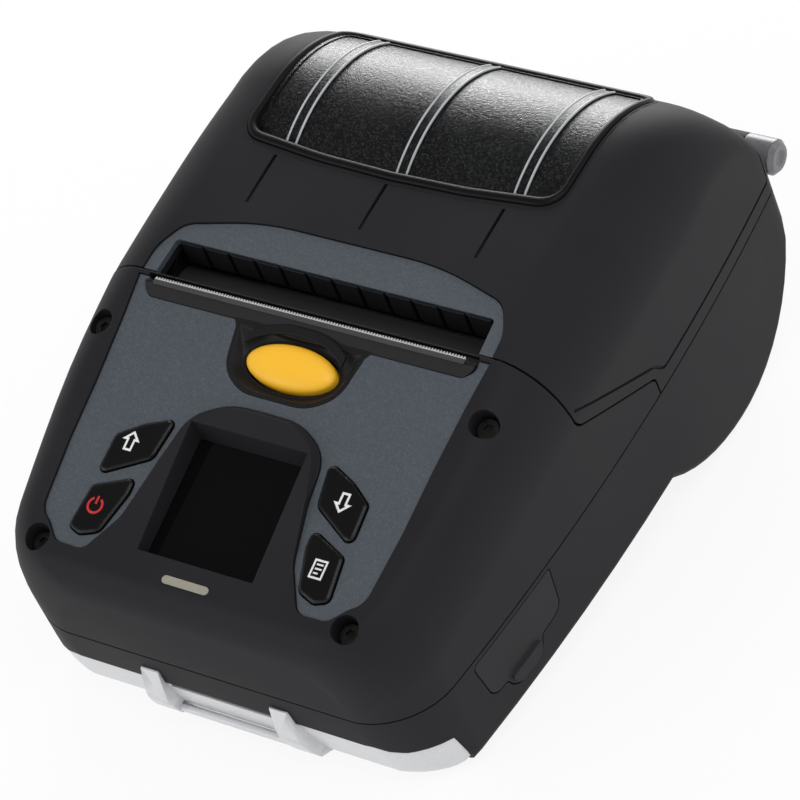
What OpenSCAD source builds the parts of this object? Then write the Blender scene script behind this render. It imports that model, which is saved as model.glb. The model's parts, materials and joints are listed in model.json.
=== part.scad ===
// Portable label printer: clamshell case, platen in the lid, print head in the base.
// All pieces are drawn in the case frame (X right, Y from the nose to the rear, Z up from
// the flat base) and are then set on the ground by stand().

/* [Case] */
// Room beside the label roll on each side, out to the widest place of the case
side_room = 17.5; // [16:0.25:19]
// Length from the front face to the rear wall
case_len = 153; // [151:0.5:156]
// Height of the lid's crown above the base
case_h = 65; // [64:0.25:67]
// Height of the seam between the base and the covers
seam_z = 23.5; // [23:0.25:24.25]
// Radius of the nose corners, seen from above
nose_r = 14.5; // [12:0.5:17]
// Radius of the rear corners, seen from above
tail_r = 4; // [3:0.5:8]
// Radius of the round back of the lid and of the roll bulge
roll_r = 34; // [33:0.25:35]
// Depth of the roll bulge below the flat base
bulge_drop = 12.2; // [11:0.2:12.6]
// Wall of the shells
wall = 2.4; // [2:0.1:2.8]
// Gap between neighbouring shells
seam_gap = 0.45; // [0.3:0.05:0.6]

/* [Control panel] */
// Slope of the control panel
panel_slope = 13.5; // [12.5:0.25:14.5]
// Height of the panel plane over the front screws
panel_z = 47; // [46:0.25:48]
// Thickness of the panel plate
panel_t = 1.6; // [1.2:0.1:1.8]
// How far the rails beside the panel stand above it
rail_h = 0.5; // [0.2:0.1:0.8]
// Side of the square display recess
display_w = 29; // [26:0.5:30]
// How far the keys stand above the panel
key_proud = 0.7; // [0.4:0.1:1]
// Stroke of a key
key_stroke = 0.5; // [0.3:0.1:0.5]
// Length of the oval release button
button_l = 22.2; // [20:0.2:23]
// Width of the oval release button
button_w = 10.2; // [9:0.2:10.6]

/* [Lid and split] */
// Distance of the lid's front edge behind the front screws
split_y = 59.5; // [59:0.1:60]
// Front edge of the window's glass in the middle
window_front_y = 96.6; // [95.5:0.1:98]

/* [Print mechanism] */
// Radius of the rubber platen
platen_r = 6.2; // [5.6:0.1:6.4]
// Radius of the platen shaft
shaft_r = 3; // [2.5:0.1:3.2]
// Module of the drive gears
gear_m = 0.6; // [0.6:0.01:0.61]
// Teeth of the platen gear
platen_teeth = 18; // [16:2:18]
// Teeth of the idler gear
idler_teeth = 40; // [40:2:42]
// Teeth of the motor pinion
pinion_teeth = 12; // [12:1:13]
// Width of the drive gears
gear_w = 2.6; // [2:0.1:2.8]

/* [Media guides] */
// Widest roll that fits between the guides
media_w = 81; // [78:0.5:82]
// Teeth of the pinion that keeps the guides centred
guide_teeth = 12; // [10:2:12]

/* [Battery] */
// Width of the battery pack
battery_w = 75; // [70:0.5:76]
// Length of the battery pack
battery_l = 62; // [58:0.5:62]
// Height of the battery pack
battery_h = 18.6; // [17:0.1:18.8]

/* [Hidden] */

// Colours
soft_black = [0.17, 0.17, 0.18];
panel_grey = [0.3, 0.33, 0.36];
silver = [0.78, 0.78, 0.8];
steel = [0.62, 0.63, 0.65];
board_green = [0.1, 0.35, 0.22];

// Widths that follow from the label roll
case_w = media_w + 2 * side_room;
slot_w = media_w - 2;
window_w = media_w - 5;
panel_x = slot_w / 2 + 3.9;

// Case outline: the nose face, the rear wall and where the case is widest
nose_y = -7;
tail_y = nose_y + case_len;
belly_y = 92;
side_arc_r = 580;
front_flat = 6;
nose_drop = 9;
crown_y = 108;
roll_y = tail_y - roll_r;
roll_z = case_h - roll_r;
bulge_r = 44;
bulge_z = bulge_r - bulge_drop;
bulge_back_z = roll_r - bulge_drop;
bulge_start_y = roll_y - sqrt(bulge_r * bulge_r - bulge_z * bulge_z);
base_edge_r = 3;
cover_top_wall = 3.4;
lid_front_wall = 4.2;
lid_thin_y = 84;
cover_base_z = seam_z + seam_gap;

// Shoulder between the top and the flanks: half widths and heights of its ellipse
shoulder_front = [10, 17];
shoulder_back = [17, 20];
shoulder_tail = [17, 9];
shoulder_from_y = 30;
shoulder_to_y = 90;

// Split between the front cover and the lid, seen from the side
split_corner = [61, 43];
split_tip = [86.3, 28.5];
split_foot_y = split_tip[0];
split_gap = 0.5;

// Screws of the cover: distance from the middle and along the panel plane
front_screw = [panel_x - 5.3, 0];
rear_screw = [case_w / 2 - 10.5, 48.3];
counterbore_r = 3;
screw_head_r = 2.35;
sleeve_r = 4.7;
sleeve_depth = 6.2;
head_depth = 4.5;
screw_r = 1.25;
screw_hole_r = 1.5;

// Print mechanism, seen from the side
platen_y = 66;
platen_z = 47.5;
platen_len = media_w;
bearing_r = 4.5;
run_fit = 0.05;
cheek_x = [platen_len / 2 + 0.7, platen_len / 2 + 2.7];
plate_x = [cheek_x[1] + 0.6, cheek_x[1] + 2];
hook_x = [plate_x[1] + 0.6, plate_x[1] + 2];
gear_x = hook_x[1] + 0.6;
motor_y = 40;
motor_z = 30;
motor_r = 8.8;
motor_len = 16.5;
motor_shaft_r = 1;
axle_r = 1.5;
latch_y = 60.5;
latch_z = 39;
latch_r = 2;
head_face_y = platen_y - platen_r - 0.3;
head_pin_y = 55.5;
head_pin_z = 29.8;
head_pin_r = 1.2;
chassis_z = 22;

// Hinge of the lid behind the rear wall
hinge_y = tail_y + 5;
hinge_z = seam_z + 1.5;
hinge_r = 4;
hinge_pin_r = 1.5;
knuckle_x = [case_w / 2 - 29, case_w / 2 - 20.2];
ear_x = [knuckle_x[1] + 0.4, knuckle_x[1] + 8.2];
barrel_x = [ear_x[1] + 0.2, case_w / 2 - 4];

// Battery bay
bay_y = 16.5;
bay_gap = 0.3;
bay_wall = 1.6;
bay_roof_z = battery_h + 0.4 + bay_wall;

// Front bumper and its lugs
bumper_h = 15.2;
bumper_end_h = 11.1;
bumper_t = 2;
bumper_edge_r = 4;
bumper_back_y = 5.5;
bumper_front_y = nose_y + 0.5;
bumper_gap = 0.15;
lug_top_z = 19.4;
lug_front_y = -9.2;

// How the case stands: on the bumper's lower edge and on the roll bulge
foot_y = bumper_front_y + bumper_edge_r;
foot_z = bumper_edge_r;
stand_dy = roll_y - foot_y;
stand_dz = bulge_z - foot_z;
rest_tilt = asin((bulge_r - foot_z) / norm([stand_dy, stand_dz])) - atan2(stand_dz, stand_dy);
lug_ridge_z = 10;
reach_front = (lug_front_y - foot_y) * cos(rest_tilt) - (lug_ridge_z - foot_z) * sin(rest_tilt);
reach_rear = (hinge_y - foot_y) * cos(rest_tilt) - (hinge_z - foot_z) * sin(rest_tilt) + hinge_r;
stand_mid = (reach_front + reach_rear) / 2;

module stand() {
    translate([0, -stand_mid, foot_z]) rotate([rest_tilt, 0, 0])
        translate([0, -foot_y, -foot_z]) children();
}

// Frame of the control panel: X right, Y up the slope, Z out of the panel
module on_panel() {
    translate([0, 0, panel_z]) rotate([panel_slope, 0, 0]) children();
}

// Numbers between 0 and 1 with soft ends
function soft_step(t) = let (c = min(1, max(0, t))) c * c * (3 - 2 * c);
function mirrored(half) = concat(half, [for (k = [len(half) - 1:-1:0]) [-half[k][0], half[k][1]]]);

// Outline with each corner rounded to its own radius, given as [x, y, radius]
function corner_arc(a, p, b, r, n = 5) =
    let (u = (a - p) / norm(a - p), v = (b - p) / norm(b - p),
        half = acos(u * v) / 2, c = p + (u + v) / norm(u + v) * r / sin(half),
        s = p + u * r / tan(half) - c, e = p + v * r / tan(half) - c,
        a0 = atan2(s[1], s[0]), turn = atan2(e[1], e[0]) - a0,
        sweep = turn > 180 ? turn - 360 : turn < -180 ? turn + 360 : turn)
    [for (k = [0:n]) c + r * [cos(a0 + sweep * k / n), sin(a0 + sweep * k / n)]];
function rounded(pts) = [for (i = [0:len(pts) - 1])
    let (n = len(pts), q = pts[i], a = pts[(i + n - 1) % n], b = pts[(i + 1) % n])
    each (q[2] > 0 ? corner_arc([a[0], a[1]], [q[0], q[1]], [b[0], b[1]], q[2])
        : [[q[0], q[1]]])];

// Half width of the case at y, kept an inset inside the skin
function corner_loss(d, r) = d >= r ? 0 : r - sqrt(max(0, r * r - (r - d) * (r - d)));
function half_w(y, inset = 0) =
    case_w / 2 - (y - belly_y) * (y - belly_y) / (2 * side_arc_r) - inset
    - corner_loss(y - nose_y - inset, nose_r - inset)
    - corner_loss(tail_y - inset - y, tail_r - inset);

// Height of the top at y: nose rounding, panel slope, crown arc, round back
function panel_plane(y) = panel_z + y * tan(panel_slope);
split_top = panel_plane(split_y) + rail_h;
crown_r = ((crown_y - split_y) * (crown_y - split_y) + (case_h - split_top) * (case_h - split_top))
    / (2 * (case_h - split_top));
function nose_top(y, inset) =
    let (flat_y = nose_y + front_flat, t = (flat_y - y) / (front_flat - inset))
    panel_plane(flat_y) + rail_h - nose_drop + (nose_drop - inset) * sqrt(max(0, 1 - t * t));
function top_z(y, inset = 0) =
    y < nose_y + front_flat ? nose_top(y, inset)
    : y < split_y ? panel_plane(y) + rail_h - inset
    : y < crown_y ? case_h - crown_r + sqrt(crown_r * crown_r - (crown_y - y) * (crown_y - y)) - inset
    : y < roll_y ? case_h - inset
    : roll_z + sqrt(max(0, (roll_r - inset) * (roll_r - inset) - (y - roll_y) * (y - roll_y)));

// Shoulder ellipse at y
function shoulder(y, k) = shoulder_front[k]
    + (shoulder_back[k] - shoulder_front[k])
    * soft_step((y - shoulder_from_y) / (shoulder_to_y - shoulder_from_y))
    + (shoulder_tail[k] - shoulder_back[k]) * max(0, (y - roll_y) / roll_r);

// Section of the covers at y, from the right foot over the top to the left foot
shoulder_steps = 9;
function upper_section(y, inset, top_inset, foot) =
    let (w = half_w(y, inset), top = top_z(y, top_inset),
        a = min(shoulder(y, 0) - inset, w - 2),
        b = min(shoulder(y, 1) - inset, (top - foot) * 0.96),
        half = concat([[w, foot]], [for (k = [0:shoulder_steps])
            [w - a + a * cos(90 * k / shoulder_steps), top - b + b * sin(90 * k / shoulder_steps)]]))
    [for (p = mirrored(half)) [p[0], y, p[1]]];

// Height of the underside at y
function under_z(y, inset = 0) =
    y < bulge_start_y ? inset
    : y < roll_y ? bulge_z - sqrt((bulge_r - inset) * (bulge_r - inset) - (y - roll_y) * (y - roll_y))
    : bulge_back_z - sqrt(max(0, (roll_r - inset) * (roll_r - inset) - (y - roll_y) * (y - roll_y)));

// Section of the base at y, from the left rim under the floor to the right rim
edge_steps = 4;
function lower_section(y, inset, rim) =
    let (w = half_w(y, inset), z = min(under_z(y, inset), seam_z - 1.5),
        r = min(max(0.6, base_edge_r - inset), (rim - z) * 0.9),
        half = concat([[w, rim]], [for (k = [0:edge_steps])
            [w - r + r * cos(90 * k / edge_steps), z + r - r * sin(90 * k / edge_steps)]]))
    [for (p = mirrored(half)) [-p[0], y, p[1]]];

// Closed solid through sections that all have as many points
module loft(sections) {
    n = len(sections[0]);
    m = len(sections);
    polyhedron(points = [for (s = sections) each s],
        faces = concat([[for (j = [n - 1:-1:0]) j]],
            [for (i = [0:m - 2], j = [0:n - 1]) let (k = (j + 1) % n)
                each [[i * n + j, i * n + k, (i + 1) * n + k],
                    [i * n + j, (i + 1) * n + k, (i + 1) * n + j]]],
            [[for (j = [0:n - 1]) (m - 1) * n + j]]),
        convexity = 6);
}

// Stations that crowd towards a rounded end
function nose_stations(inset, steps) =
    [for (k = [0:steps]) nose_y + inset + 0.02 + (nose_r - inset) * (1 - cos(90 * k / steps))];
function even_stations(from, to, steps) = [for (k = [1:steps]) from + (to - from) * k / steps];
function back_stations(inset, steps, last = 87) =
    [for (k = [1:steps]) roll_y + (roll_r - inset) * sin(last * k / steps)];

module cover_outer() {
    ys = concat(nose_stations(0, 9), even_stations(nose_y + nose_r, split_y, 7),
        even_stations(split_y, split_foot_y + 2, 4));
    loft([for (y = ys) upper_section(y, 0, 0, cover_base_z)]);
}

module cover_inner() {
    ys = concat(nose_stations(wall, 6), even_stations(nose_y + nose_r, split_y, 4),
        even_stations(split_y, split_foot_y + 4, 3));
    loft([for (y = ys) upper_section(y, wall, cover_top_wall, cover_base_z - 2)]);
}

module lid_outer() {
    ys = concat([split_y - 2], even_stations(split_y - 2, roll_y, 10), back_stations(0, 11));
    loft([for (y = ys) upper_section(y, 0, 0, cover_base_z)]);
}

function lid_wall(y) = wall + (lid_front_wall - wall) * soft_step((lid_thin_y - y) / 6);
module lid_inner() {
    ys = concat([split_y - 4], even_stations(split_y - 4, lid_thin_y - 6, 3),
        even_stations(lid_thin_y - 6, lid_thin_y, 2), even_stations(lid_thin_y, roll_y, 4),
        back_stations(wall, 8));
    loft([for (y = ys) upper_section(y, wall, lid_wall(y), cover_base_z - 2)]);
}

module base_outer() {
    ys = concat(nose_stations(0, 9), even_stations(nose_y + nose_r, bulge_start_y, 6),
        even_stations(bulge_start_y, roll_y, 8), back_stations(0, 11));
    loft([for (y = ys) lower_section(y, 0, seam_z)]);
}

// The base's hollow starts behind the bumper's recess
module base_inner() {
    front = wall + bumper_t + 0.6;
    ys = concat([for (k = [0:6]) nose_y + front + (nose_r - wall) * (1 - cos(90 * k / 6))],
        even_stations(nose_y + front + nose_r - wall, bulge_start_y, 4),
        even_stations(bulge_start_y, roll_y, 6), back_stations(wall, 8));
    loft([for (y = ys) lower_section(y, wall, seam_z + 2)]);
}

// Prism across the case from an outline in Y and Z
module across(x0, x1) {
    translate([x0, 0, 0]) rotate([90, 0, 90]) linear_extrude(x1 - x0) children();
}
module both_sides() {
    children();
    mirror([1, 0, 0]) children();
}
module rod(x0, x1, y, z, r) {
    translate([x0, y, z]) rotate([0, 90, 0]) cylinder(r = r, h = x1 - x0, $fn = 48);
}
module block(from, to) {
    translate(from) cube(to - from);
}

// Side outline of the split: the front cover lies before it, the lid behind it
corner_round = 4;
tip_round = 2.2;
function split_line(g) = [[split_foot_y + g, cover_base_z - 1, 0],
    [split_tip[0] + g, split_tip[1] + g / 2, tip_round],
    [split_corner[0] + g, split_corner[1] + g / 2, corner_round], [split_y + g, case_h + 5, 0]];
module cover_side() {
    polygon(rounded(concat([[nose_y - 5, case_h + 5, 0], [nose_y - 5, cover_base_z - 1, 0]],
        split_line(0))));
}
module lid_side() {
    polygon(rounded(concat([[tail_y + 5, case_h + 5, 0], [tail_y + 5, cover_base_z - 1, 0]],
        split_line(split_gap))));
}

// Outlines on the panel plane
function panel_half() = [[0, 60.7, 0], [panel_x, 60.7, 0], [panel_x - 0.9, 51, 20],
    [panel_x - 1.8, 36, 30], [panel_x - 2.2, 22, 30], [panel_x - 3.5, 6, 5], [panel_x - 6.5, 3.9, 3],
    [panel_x - 9.8, 0.4, 3], [26.6, 0.2, 3], [21.2, 9.5, 12],
    [18.4, 22, 20], [17.2, 33.5, 9], [8.5, 38.4, 14], [0, 38.6, 0]];
module panel_outline() {
    half = rounded(panel_half());
    polygon(mirrored(half));
}
module bezel_outline(grow = 0) {
    offset(delta = grow) polygon(mirrored(rounded([[0, 1.2, 0], [24.4, 1.2, 2.5], [21, 9.5, 12],
        [18.2, 22, 20], [17, 33.2, 9], [8.4, 38.1, 14], [0, 38.3, 0]])));
}
module pocket_outline(grow = 0) {
    offset(delta = grow) polygon(mirrored(rounded([[0, 41.4, 0], [8, 41.4, 10], [14.2, 45.5, 8],
        [15.8, 55, 1.5], [17.2, 57.2, 0], [0, 57.2, 0]])));
}
module ramp_outline(grow = 0) {
    offset(delta = grow) polygon(mirrored(rounded([[0, 56.5, 0], [panel_x - 4.6, 56.5, 2],
        [panel_x - 2.6, 58.4, 2], [panel_x - 2.6, 61.3, 0], [0, 61.3, 0]])));
}
module button_outline(grow = 0) {
    scale([1, (button_w + 2 * grow) / (button_l + 2 * grow)])
        circle(r = button_l / 2 + grow, $fn = 48);
}
button_s = 49.5;

// The upper key on the right and the lower key on the right; the left pair mirrors them
upper_key = [[18.9, 32.3, 1.2], [26, 29.2, 8], [31.3, 25.6, 1.6], [31.6, 17, 1.4], [29.6, 17.3, 1.5],
    [20.4, 22.6, 2.5]];
lower_key = [[22, 17.8, 1.2], [31.2, 13.8, 1.4], [32.3, 4.2, 1.6], [29, 3, 2], [24.7, 4.6, 2.5],
    [22, 14, 3]];
key_centre = [[26.2, 24.6], [27.3, 10.2]];
module key_outline(k, grow = 0) {
    offset(delta = grow) polygon(rounded(k == 0 ? upper_key : lower_key));
}

// Display recess, from the hood down to the window
display_s = 3.3 + display_w / 2;
window_h = -3.2;
glass_t = 1.2;
well_wall = 1.5;
hood_h = 2.3;
module display_hood() {
    hull() {
        translate([0, 0, -1]) linear_extrude(1) bezel_outline();
        intersection() {
            translate([0, 0, 0]) linear_extrude(hood_h) bezel_outline(-1.1);
            rotate([90, 0, 90]) translate([0, 0, -30]) linear_extrude(60)
                polygon([[0, -1], [0, 0.25], [3, rail_h - 0.05], [24, hood_h - 0.5], [34, hood_h],
                    [40, hood_h], [40, -1]]);
        }
    }
}
module display_cut() {
    hull() {
        translate([-display_w / 2, display_s - display_w / 2, hood_h + 0.5])
            cube([display_w, display_w, 0.5]);
        translate([-display_w / 2 + 0.6, display_s - display_w / 2 + 0.4, window_h])
            cube([display_w - 1.2, display_w - 2.2, 0.5]);
    }
}

module screw_sleeve(at) {
    translate([at[0], at[1], -sleeve_depth]) cylinder(r = sleeve_r, h = sleeve_depth - 1, $fn = 48);
}
module screw_cut(at) {
    translate([at[0], at[1], -head_depth]) cylinder(r = counterbore_r, h = head_depth + 4, $fn = 48);
    translate([at[0], at[1], -sleeve_depth - 1]) cylinder(r = screw_hole_r, h = sleeve_depth, $fn = 32);
}

module front_cover() {
    color(soft_black) difference() {
        union() {
            difference() {
                intersection() {
                    cover_outer();
                    across(-case_w, case_w) cover_side();
                }
                cover_inner();
            }
            intersection() {
                cover_outer();
                on_panel() union() {
                    both_sides() {
                        screw_sleeve(front_screw);
                        screw_sleeve(rear_screw);
                    }
                    translate([-display_w / 2 - well_wall, display_s - display_w / 2 - well_wall,
                        window_h - glass_t - 2.2])
                        cube([display_w + 2 * well_wall, display_w + 2 * well_wall, 6]);
                }
            }
            on_panel() display_hood();
        }
        on_panel() {
            difference() {
                translate([0, 0, -panel_t]) linear_extrude(panel_t + 3) offset(delta = 0.15)
                    panel_outline();
                translate([0, 0, -panel_t - 1]) linear_extrude(panel_t + 5) bezel_outline();
            }
            display_cut();
            translate([-display_w / 2 - 0.3, display_s - display_w / 2 - 0.3, window_h - glass_t - 0.05])
                cube([display_w + 0.6, display_w + 0.6, glass_t + 0.1]);
            translate([-display_w / 2 + 1.5, display_s - display_w / 2 + 1.5, window_h - 6])
                cube([display_w - 3, display_w - 3, 6]);
            translate([0, 0, -8]) linear_extrude(8) both_sides() {
                key_outline(0, 0.25);
                key_outline(1, 0.25);
            }
            translate([0, 0, -8]) linear_extrude(12) ramp_outline(0.15);
            translate([0, button_s, -8]) linear_extrude(8) button_outline(tube_wall + 0.6);
            translate([0, 0, -frame_t]) linear_extrude(8) pocket_outline(0.15);
            translate([0, light_s, -8]) linear_extrude(12) light_outline(0.1);
            both_sides() {
                screw_cut(front_screw);
                screw_cut(rear_screw);
            }
        }
    }
}

module control_panel() {
    color(panel_grey) on_panel() difference() {
        translate([0, 0, -panel_t]) linear_extrude(panel_t) panel_outline();
        translate([0, 0, -panel_t - 1]) linear_extrude(panel_t + 2) {
            bezel_outline(0.15);
            ramp_outline(0.15);
            pocket_outline(0.15);
            both_sides() {
                key_outline(0, 0.25);
                key_outline(1, 0.25);
            }
        }
        both_sides() {
            screw_cut(front_screw);
            screw_cut(rear_screw);
        }
    }
}

module display_window() {
    color([0.05, 0.05, 0.06]) on_panel()
        translate([-display_w / 2, display_s - display_w / 2, window_h - glass_t])
            cube([display_w, display_w, glass_t]);
}

display_frame_t = 3.2;
module display_module() {
    top = window_h - glass_t - 2.2;
    inner = display_w - 3.4;
    color(steel) on_panel() union() {
        translate([-display_w / 2 - 1, display_s - display_w / 2 - 1, top - display_frame_t])
            cube([display_w + 2, display_w + 2, display_frame_t]);
        translate([-inner / 2, display_s - inner / 2, top - 1]) cube([inner, inner, 2.9]);
    }
}

light_w = 11.4;
light_l = 1.8;
light_s = -0.9;
module light_outline(grow = 0) {
    half = [(light_w - light_l) / 2, light_l / 2 + grow];
    square([2 * half[0], 2 * half[1]], center = true);
    for (side = [-1, 1]) translate([side * half[0], 0]) circle(r = half[1], $fn = 24);
}
module status_light() {
    color([0.8, 0.79, 0.7]) on_panel() union() {
        translate([0, 0, -4.2]) linear_extrude(4.85) translate([0, light_s]) light_outline();
    }
}

key_depth = 3;
module key_cap(k, side) {
    on_panel() mirror([side, 0, 0]) union() {
        hull() {
            translate([0, 0, -key_depth]) linear_extrude(key_depth + key_proud - 0.3) key_outline(k, -0.05);
            translate([0, 0, key_proud - 0.3]) linear_extrude(0.3) key_outline(k, -0.3);
        }
    }
}
module key_up() { color(soft_black) key_cap(0, 1); }
module key_down() { color(soft_black) key_cap(0, 0); }
module key_power() { color(soft_black) key_cap(1, 1); }
module key_menu() { color(soft_black) key_cap(1, 0); }

// Silicone mat with a dome under each key, and the board it lies on
mat_h = -key_depth - key_stroke - 0.1;
mat_t = 1.2;
pad_t = 1.4;
module pad_shape() {
    difference() {
        translate([-34, 2.6]) square([68, 37.1]);
        translate([-display_w / 2 - 2.4, -5])
            square([display_w + 4.8, 5 + display_s + display_w / 2 + 2.4]);
    }
}
module key_mat() {
    color([0.75, 0.75, 0.72]) on_panel() union() {
        translate([0, 0, mat_h - pad_t - mat_t]) linear_extrude(mat_t) pad_shape();
        for (c = key_centre) both_sides()
            translate([c[0], c[1], mat_h - pad_t - 0.1]) cylinder(r = 3.2, h = pad_t + 0.1, $fn = 32);
    }
}
board_t = 1.4;
module key_board() {
    color(board_green) on_panel()
        translate([0, 0, mat_h - pad_t - mat_t - board_t]) linear_extrude(board_t) pad_shape();
}

frame_t = 3;
tube_wall = 1.1;
tube_depth = 7.2;
cup_depth = 10.6;
cup_r = 4.8;
stem_r = 2;
button_depth = 4.2;
module button_frame() {
    color(soft_black) on_panel() difference() {
        union() {
            translate([0, 0, -frame_t]) linear_extrude(frame_t) pocket_outline();
            intersection() {
                translate([0, 0, -frame_t]) linear_extrude(frame_t + 3) ramp_outline();
                rotate([90, 0, 90]) translate([0, 0, -45]) linear_extrude(90) polygon([[55, -frame_t],
                    [55, -0.2], [56.6, -0.1], [59.2, 0.9], [59.8, 0.9], [59.8, -frame_t]]);
            }
            translate([0, button_s, -tube_depth]) linear_extrude(tube_depth - 1.5)
                button_outline(tube_wall + 0.3);
            translate([0, button_s, -cup_depth])
                cylinder(r = cup_r, h = cup_depth - tube_depth + 0.5, $fn = 48);
            intersection() {
                translate([0, button_s + 1, -1]) linear_extrude(1.7) difference() {
                    button_outline(2.6);
                    translate([0, -0.8]) button_outline(1.3);
                }
                translate([-12, button_s + 2.5, -1]) cube([24, 6, 4]);
            }
        }
        hull() {
            translate([0, 0, 0.02]) linear_extrude(0.01) intersection() {
                pocket_outline(-0.9);
                translate([-20, 30]) square([40, 25.6]);
            }
            translate([0, button_s, -1.9]) linear_extrude(0.01) button_outline(1);
        }
        translate([0, button_s, -tube_depth + 0.9]) linear_extrude(tube_depth + 3) button_outline(0.3);
        translate([0, button_s, -cup_depth + 0.9]) cylinder(r = cup_r - 1, h = cup_depth, $fn = 48);
        translate([0, button_s, -cup_depth - 1]) cylinder(r = stem_r + run_fit, h = 4, $fn = 48);
    }
}

stem_end = -15.5;
module release_button() {
    color([0.98, 0.72, 0.15]) on_panel() translate([0, button_s, 0]) union() {
        hull() {
            translate([0, 0, -button_depth]) linear_extrude(button_depth + 0.6) button_outline();
            translate([0, 0, 0.95]) linear_extrude(0.1) button_outline(-0.8);
            translate([0, 0, 1.2]) linear_extrude(0.1) button_outline(-2.4);
        }
        translate([0, 0, stem_end]) cylinder(r = stem_r, h = -stem_end - 2, $fn = 48);
    }
}

// Round-wire spring along Z from 0 to h
function coil_path(r, h, turns, steps) = [for (k = [0:turns * steps])
    [r * cos(360 * k / steps), r * sin(360 * k / steps), h * k / (turns * steps)]];
module coil(r, h, wire, turns, steps = 12, sides = 6) {
    climb = (h - 2 * wire) / turns;
    path = coil_path(r, h - 2 * wire, turns, steps);
    loft([for (k = [0:len(path) - 1]) let (a = 360 * k / steps)
        [for (s = [0:sides - 1]) let (t = 360 * s / sides, d = r + wire * cos(t))
            [d * cos(a), d * sin(a), path[k][2] + wire + wire * sin(t)]]]);
}

module button_spring() {
    color(steel) on_panel() translate([0, button_s, -cup_depth + 0.95])
        coil(3.1, cup_depth - 0.95 - button_depth - 0.05, 0.35, 4);
}

tooth_pitch = 0.7;
tooth_l = 0.6;
tear_t = 0.5;
module tear_bar() {
    half = slot_w / 2 - 1;
    count = floor(half / tooth_pitch);
    color([0.75, 0.75, 0.76]) on_panel() translate([0, 0, 0.95]) linear_extrude(tear_t) union() {
        translate([-half, 58.9]) square([2 * half, 1.1]);
        for (k = [-count:count - 1]) translate([(k + 0.5) * tooth_pitch, 60])
            polygon([[-tooth_pitch / 2, -0.1], [tooth_pitch / 2, -0.1], [0, tooth_l]]);
    }
}

// Lid
slot_back_y = 69;
trim_tilt = atan2(top_z(77.4) - top_z(split_y), 77.4 - split_y);
trim_sink = 0.35;
trim_t = 1.6;
module trim_plane() {
    translate([0, split_y, top_z(split_y) - trim_sink]) rotate([trim_tilt, 0, 0]) children();
}
module trim_outline(grow = 0) {
    offset(delta = grow) polygon(mirrored(rounded([[0, 17.9, 0], [22, 17.9, 60], [panel_x - 3.9, 13.2, 6],
        [panel_x - 0.4, 6.5, 10], [panel_x - 0.2, split_gap + 0.5, 0], [0, split_gap + 0.5, 0]])));
}
module slot_outline(grow = 0) {
    reach = slot_back_y - split_y;
    offset(delta = grow) polygon(mirrored(rounded([[0, reach, 0], [slot_w / 2, reach, 1],
        [slot_w / 2 + 0.8, -3, 0], [0, -3, 0]])));
}

// Outline of the window in X and Y
window_back_y = 136.8;
function window_half(g) = let (front = window_front_y - g * 1.4)
    [[0, front, 0], [18, front + 0.5, 60], [window_w / 2 + g, front + 2.6, 4 + g],
    [window_w / 2 + g, window_back_y + g, 3 + g], [0, window_back_y + g, 0]];
module window_prism(g) {
    translate([0, 0, 30]) linear_extrude(60) polygon(mirrored(rounded(window_half(g))));
}
gasket_w = 2.3;
bead_h = 0.8;
window_r = roll_r - 0.3;
glass_lid_t = 1.6;
rib_x = window_w * 0.374;
rib_w = 2.4;
groove_y = [81, 94];
// Top of the lid in Y and Z, raised by h, down to the axis of the round back
module top_profile(h) {
    polygon(concat([[window_front_y - 5, roll_z]], [for (k = [0:6]) let (y = window_front_y - 5
        + (roll_y - window_front_y + 5) * k / 6) [y, top_z(y) + h]],
        [for (k = [1:16]) (roll_r + h) * [sin(3.6 * k), cos(3.6 * k)] + [roll_y, roll_z]],
            [[roll_y, roll_z]]));
}
module round_shell(r_out, r_in) {
    difference() {
        rod(-case_w / 2, case_w / 2, roll_y, roll_z, r_out);
        rod(-case_w / 2 - 1, case_w / 2 + 1, roll_y, roll_z, r_in);
    }
}

module lid() {
    color(soft_black) difference() {
        union() {
            difference() {
                intersection() {
                    lid_outer();
                    across(-case_w, case_w) lid_side();
                }
                lid_inner();
            }
            both_sides() {
                across(knuckle_x[0], knuckle_x[1]) difference() {
                    union() {
                        translate([hinge_y, hinge_z]) circle(r = hinge_r, $fn = 48);
                        polygon([[tail_y - 1.2, hinge_z + 0.2], [tail_y - 1.2, hinge_z + 5.5],
                            [hinge_y, hinge_z + hinge_r], [hinge_y, hinge_z]]);
                    }
                }
                intersection() {
                    lid_outer();
                    block([28, 71, 59.6], [34, 76, case_h]);
                }
            }
        }
        both_sides() rod(knuckle_x[0] - 1, knuckle_x[1] + 0.1, hinge_y, hinge_z, hinge_pin_r + run_fit);
        trim_plane() translate([0, 0, -trim_t]) linear_extrude(8) trim_outline(0.2);
        trim_plane() translate([0, 0, -20]) linear_extrude(30) slot_outline(0.3);
        window_prism(gasket_w + 0.1);
        for (x = [-rib_x, 0, rib_x]) block([x - 0.4, groove_y[0], top_z(groove_y[0]) - 0.5],
            [x + 0.4, groove_y[1], case_h + 2]);
        both_sides() flank_groove();
    }
}

// Groove that frames the flank of the lid
groove_line = [[62.3, 47, 0], [87.4, 31.4, 2.5], [90.2, 27.8, 2.5], [142.9, 27.5, 1.5], [143.2, 37.4, 0]];
groove_half = 0.35;
groove_depth = 0.5;
function beside(path, d) = [for (k = [0:len(path) - 1])
    let (t = path[min(len(path) - 1, k + 1)] - path[max(0, k - 1)])
    path[k] + d * [-t[1], t[0]] / norm(t)];
module flank_groove() {
    path = rounded(groove_line);
    back = beside(path, -groove_half);
    difference() {
        across(case_w / 4, case_w) polygon(concat(beside(path, groove_half),
            [for (k = [len(back) - 1:-1:0]) back[k]]));
        loft([for (y = concat([60], even_stations(60, roll_y, 6), back_stations(groove_depth, 6)))
            upper_section(y, groove_depth, groove_depth, cover_base_z - 1)]);
    }
}

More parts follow.
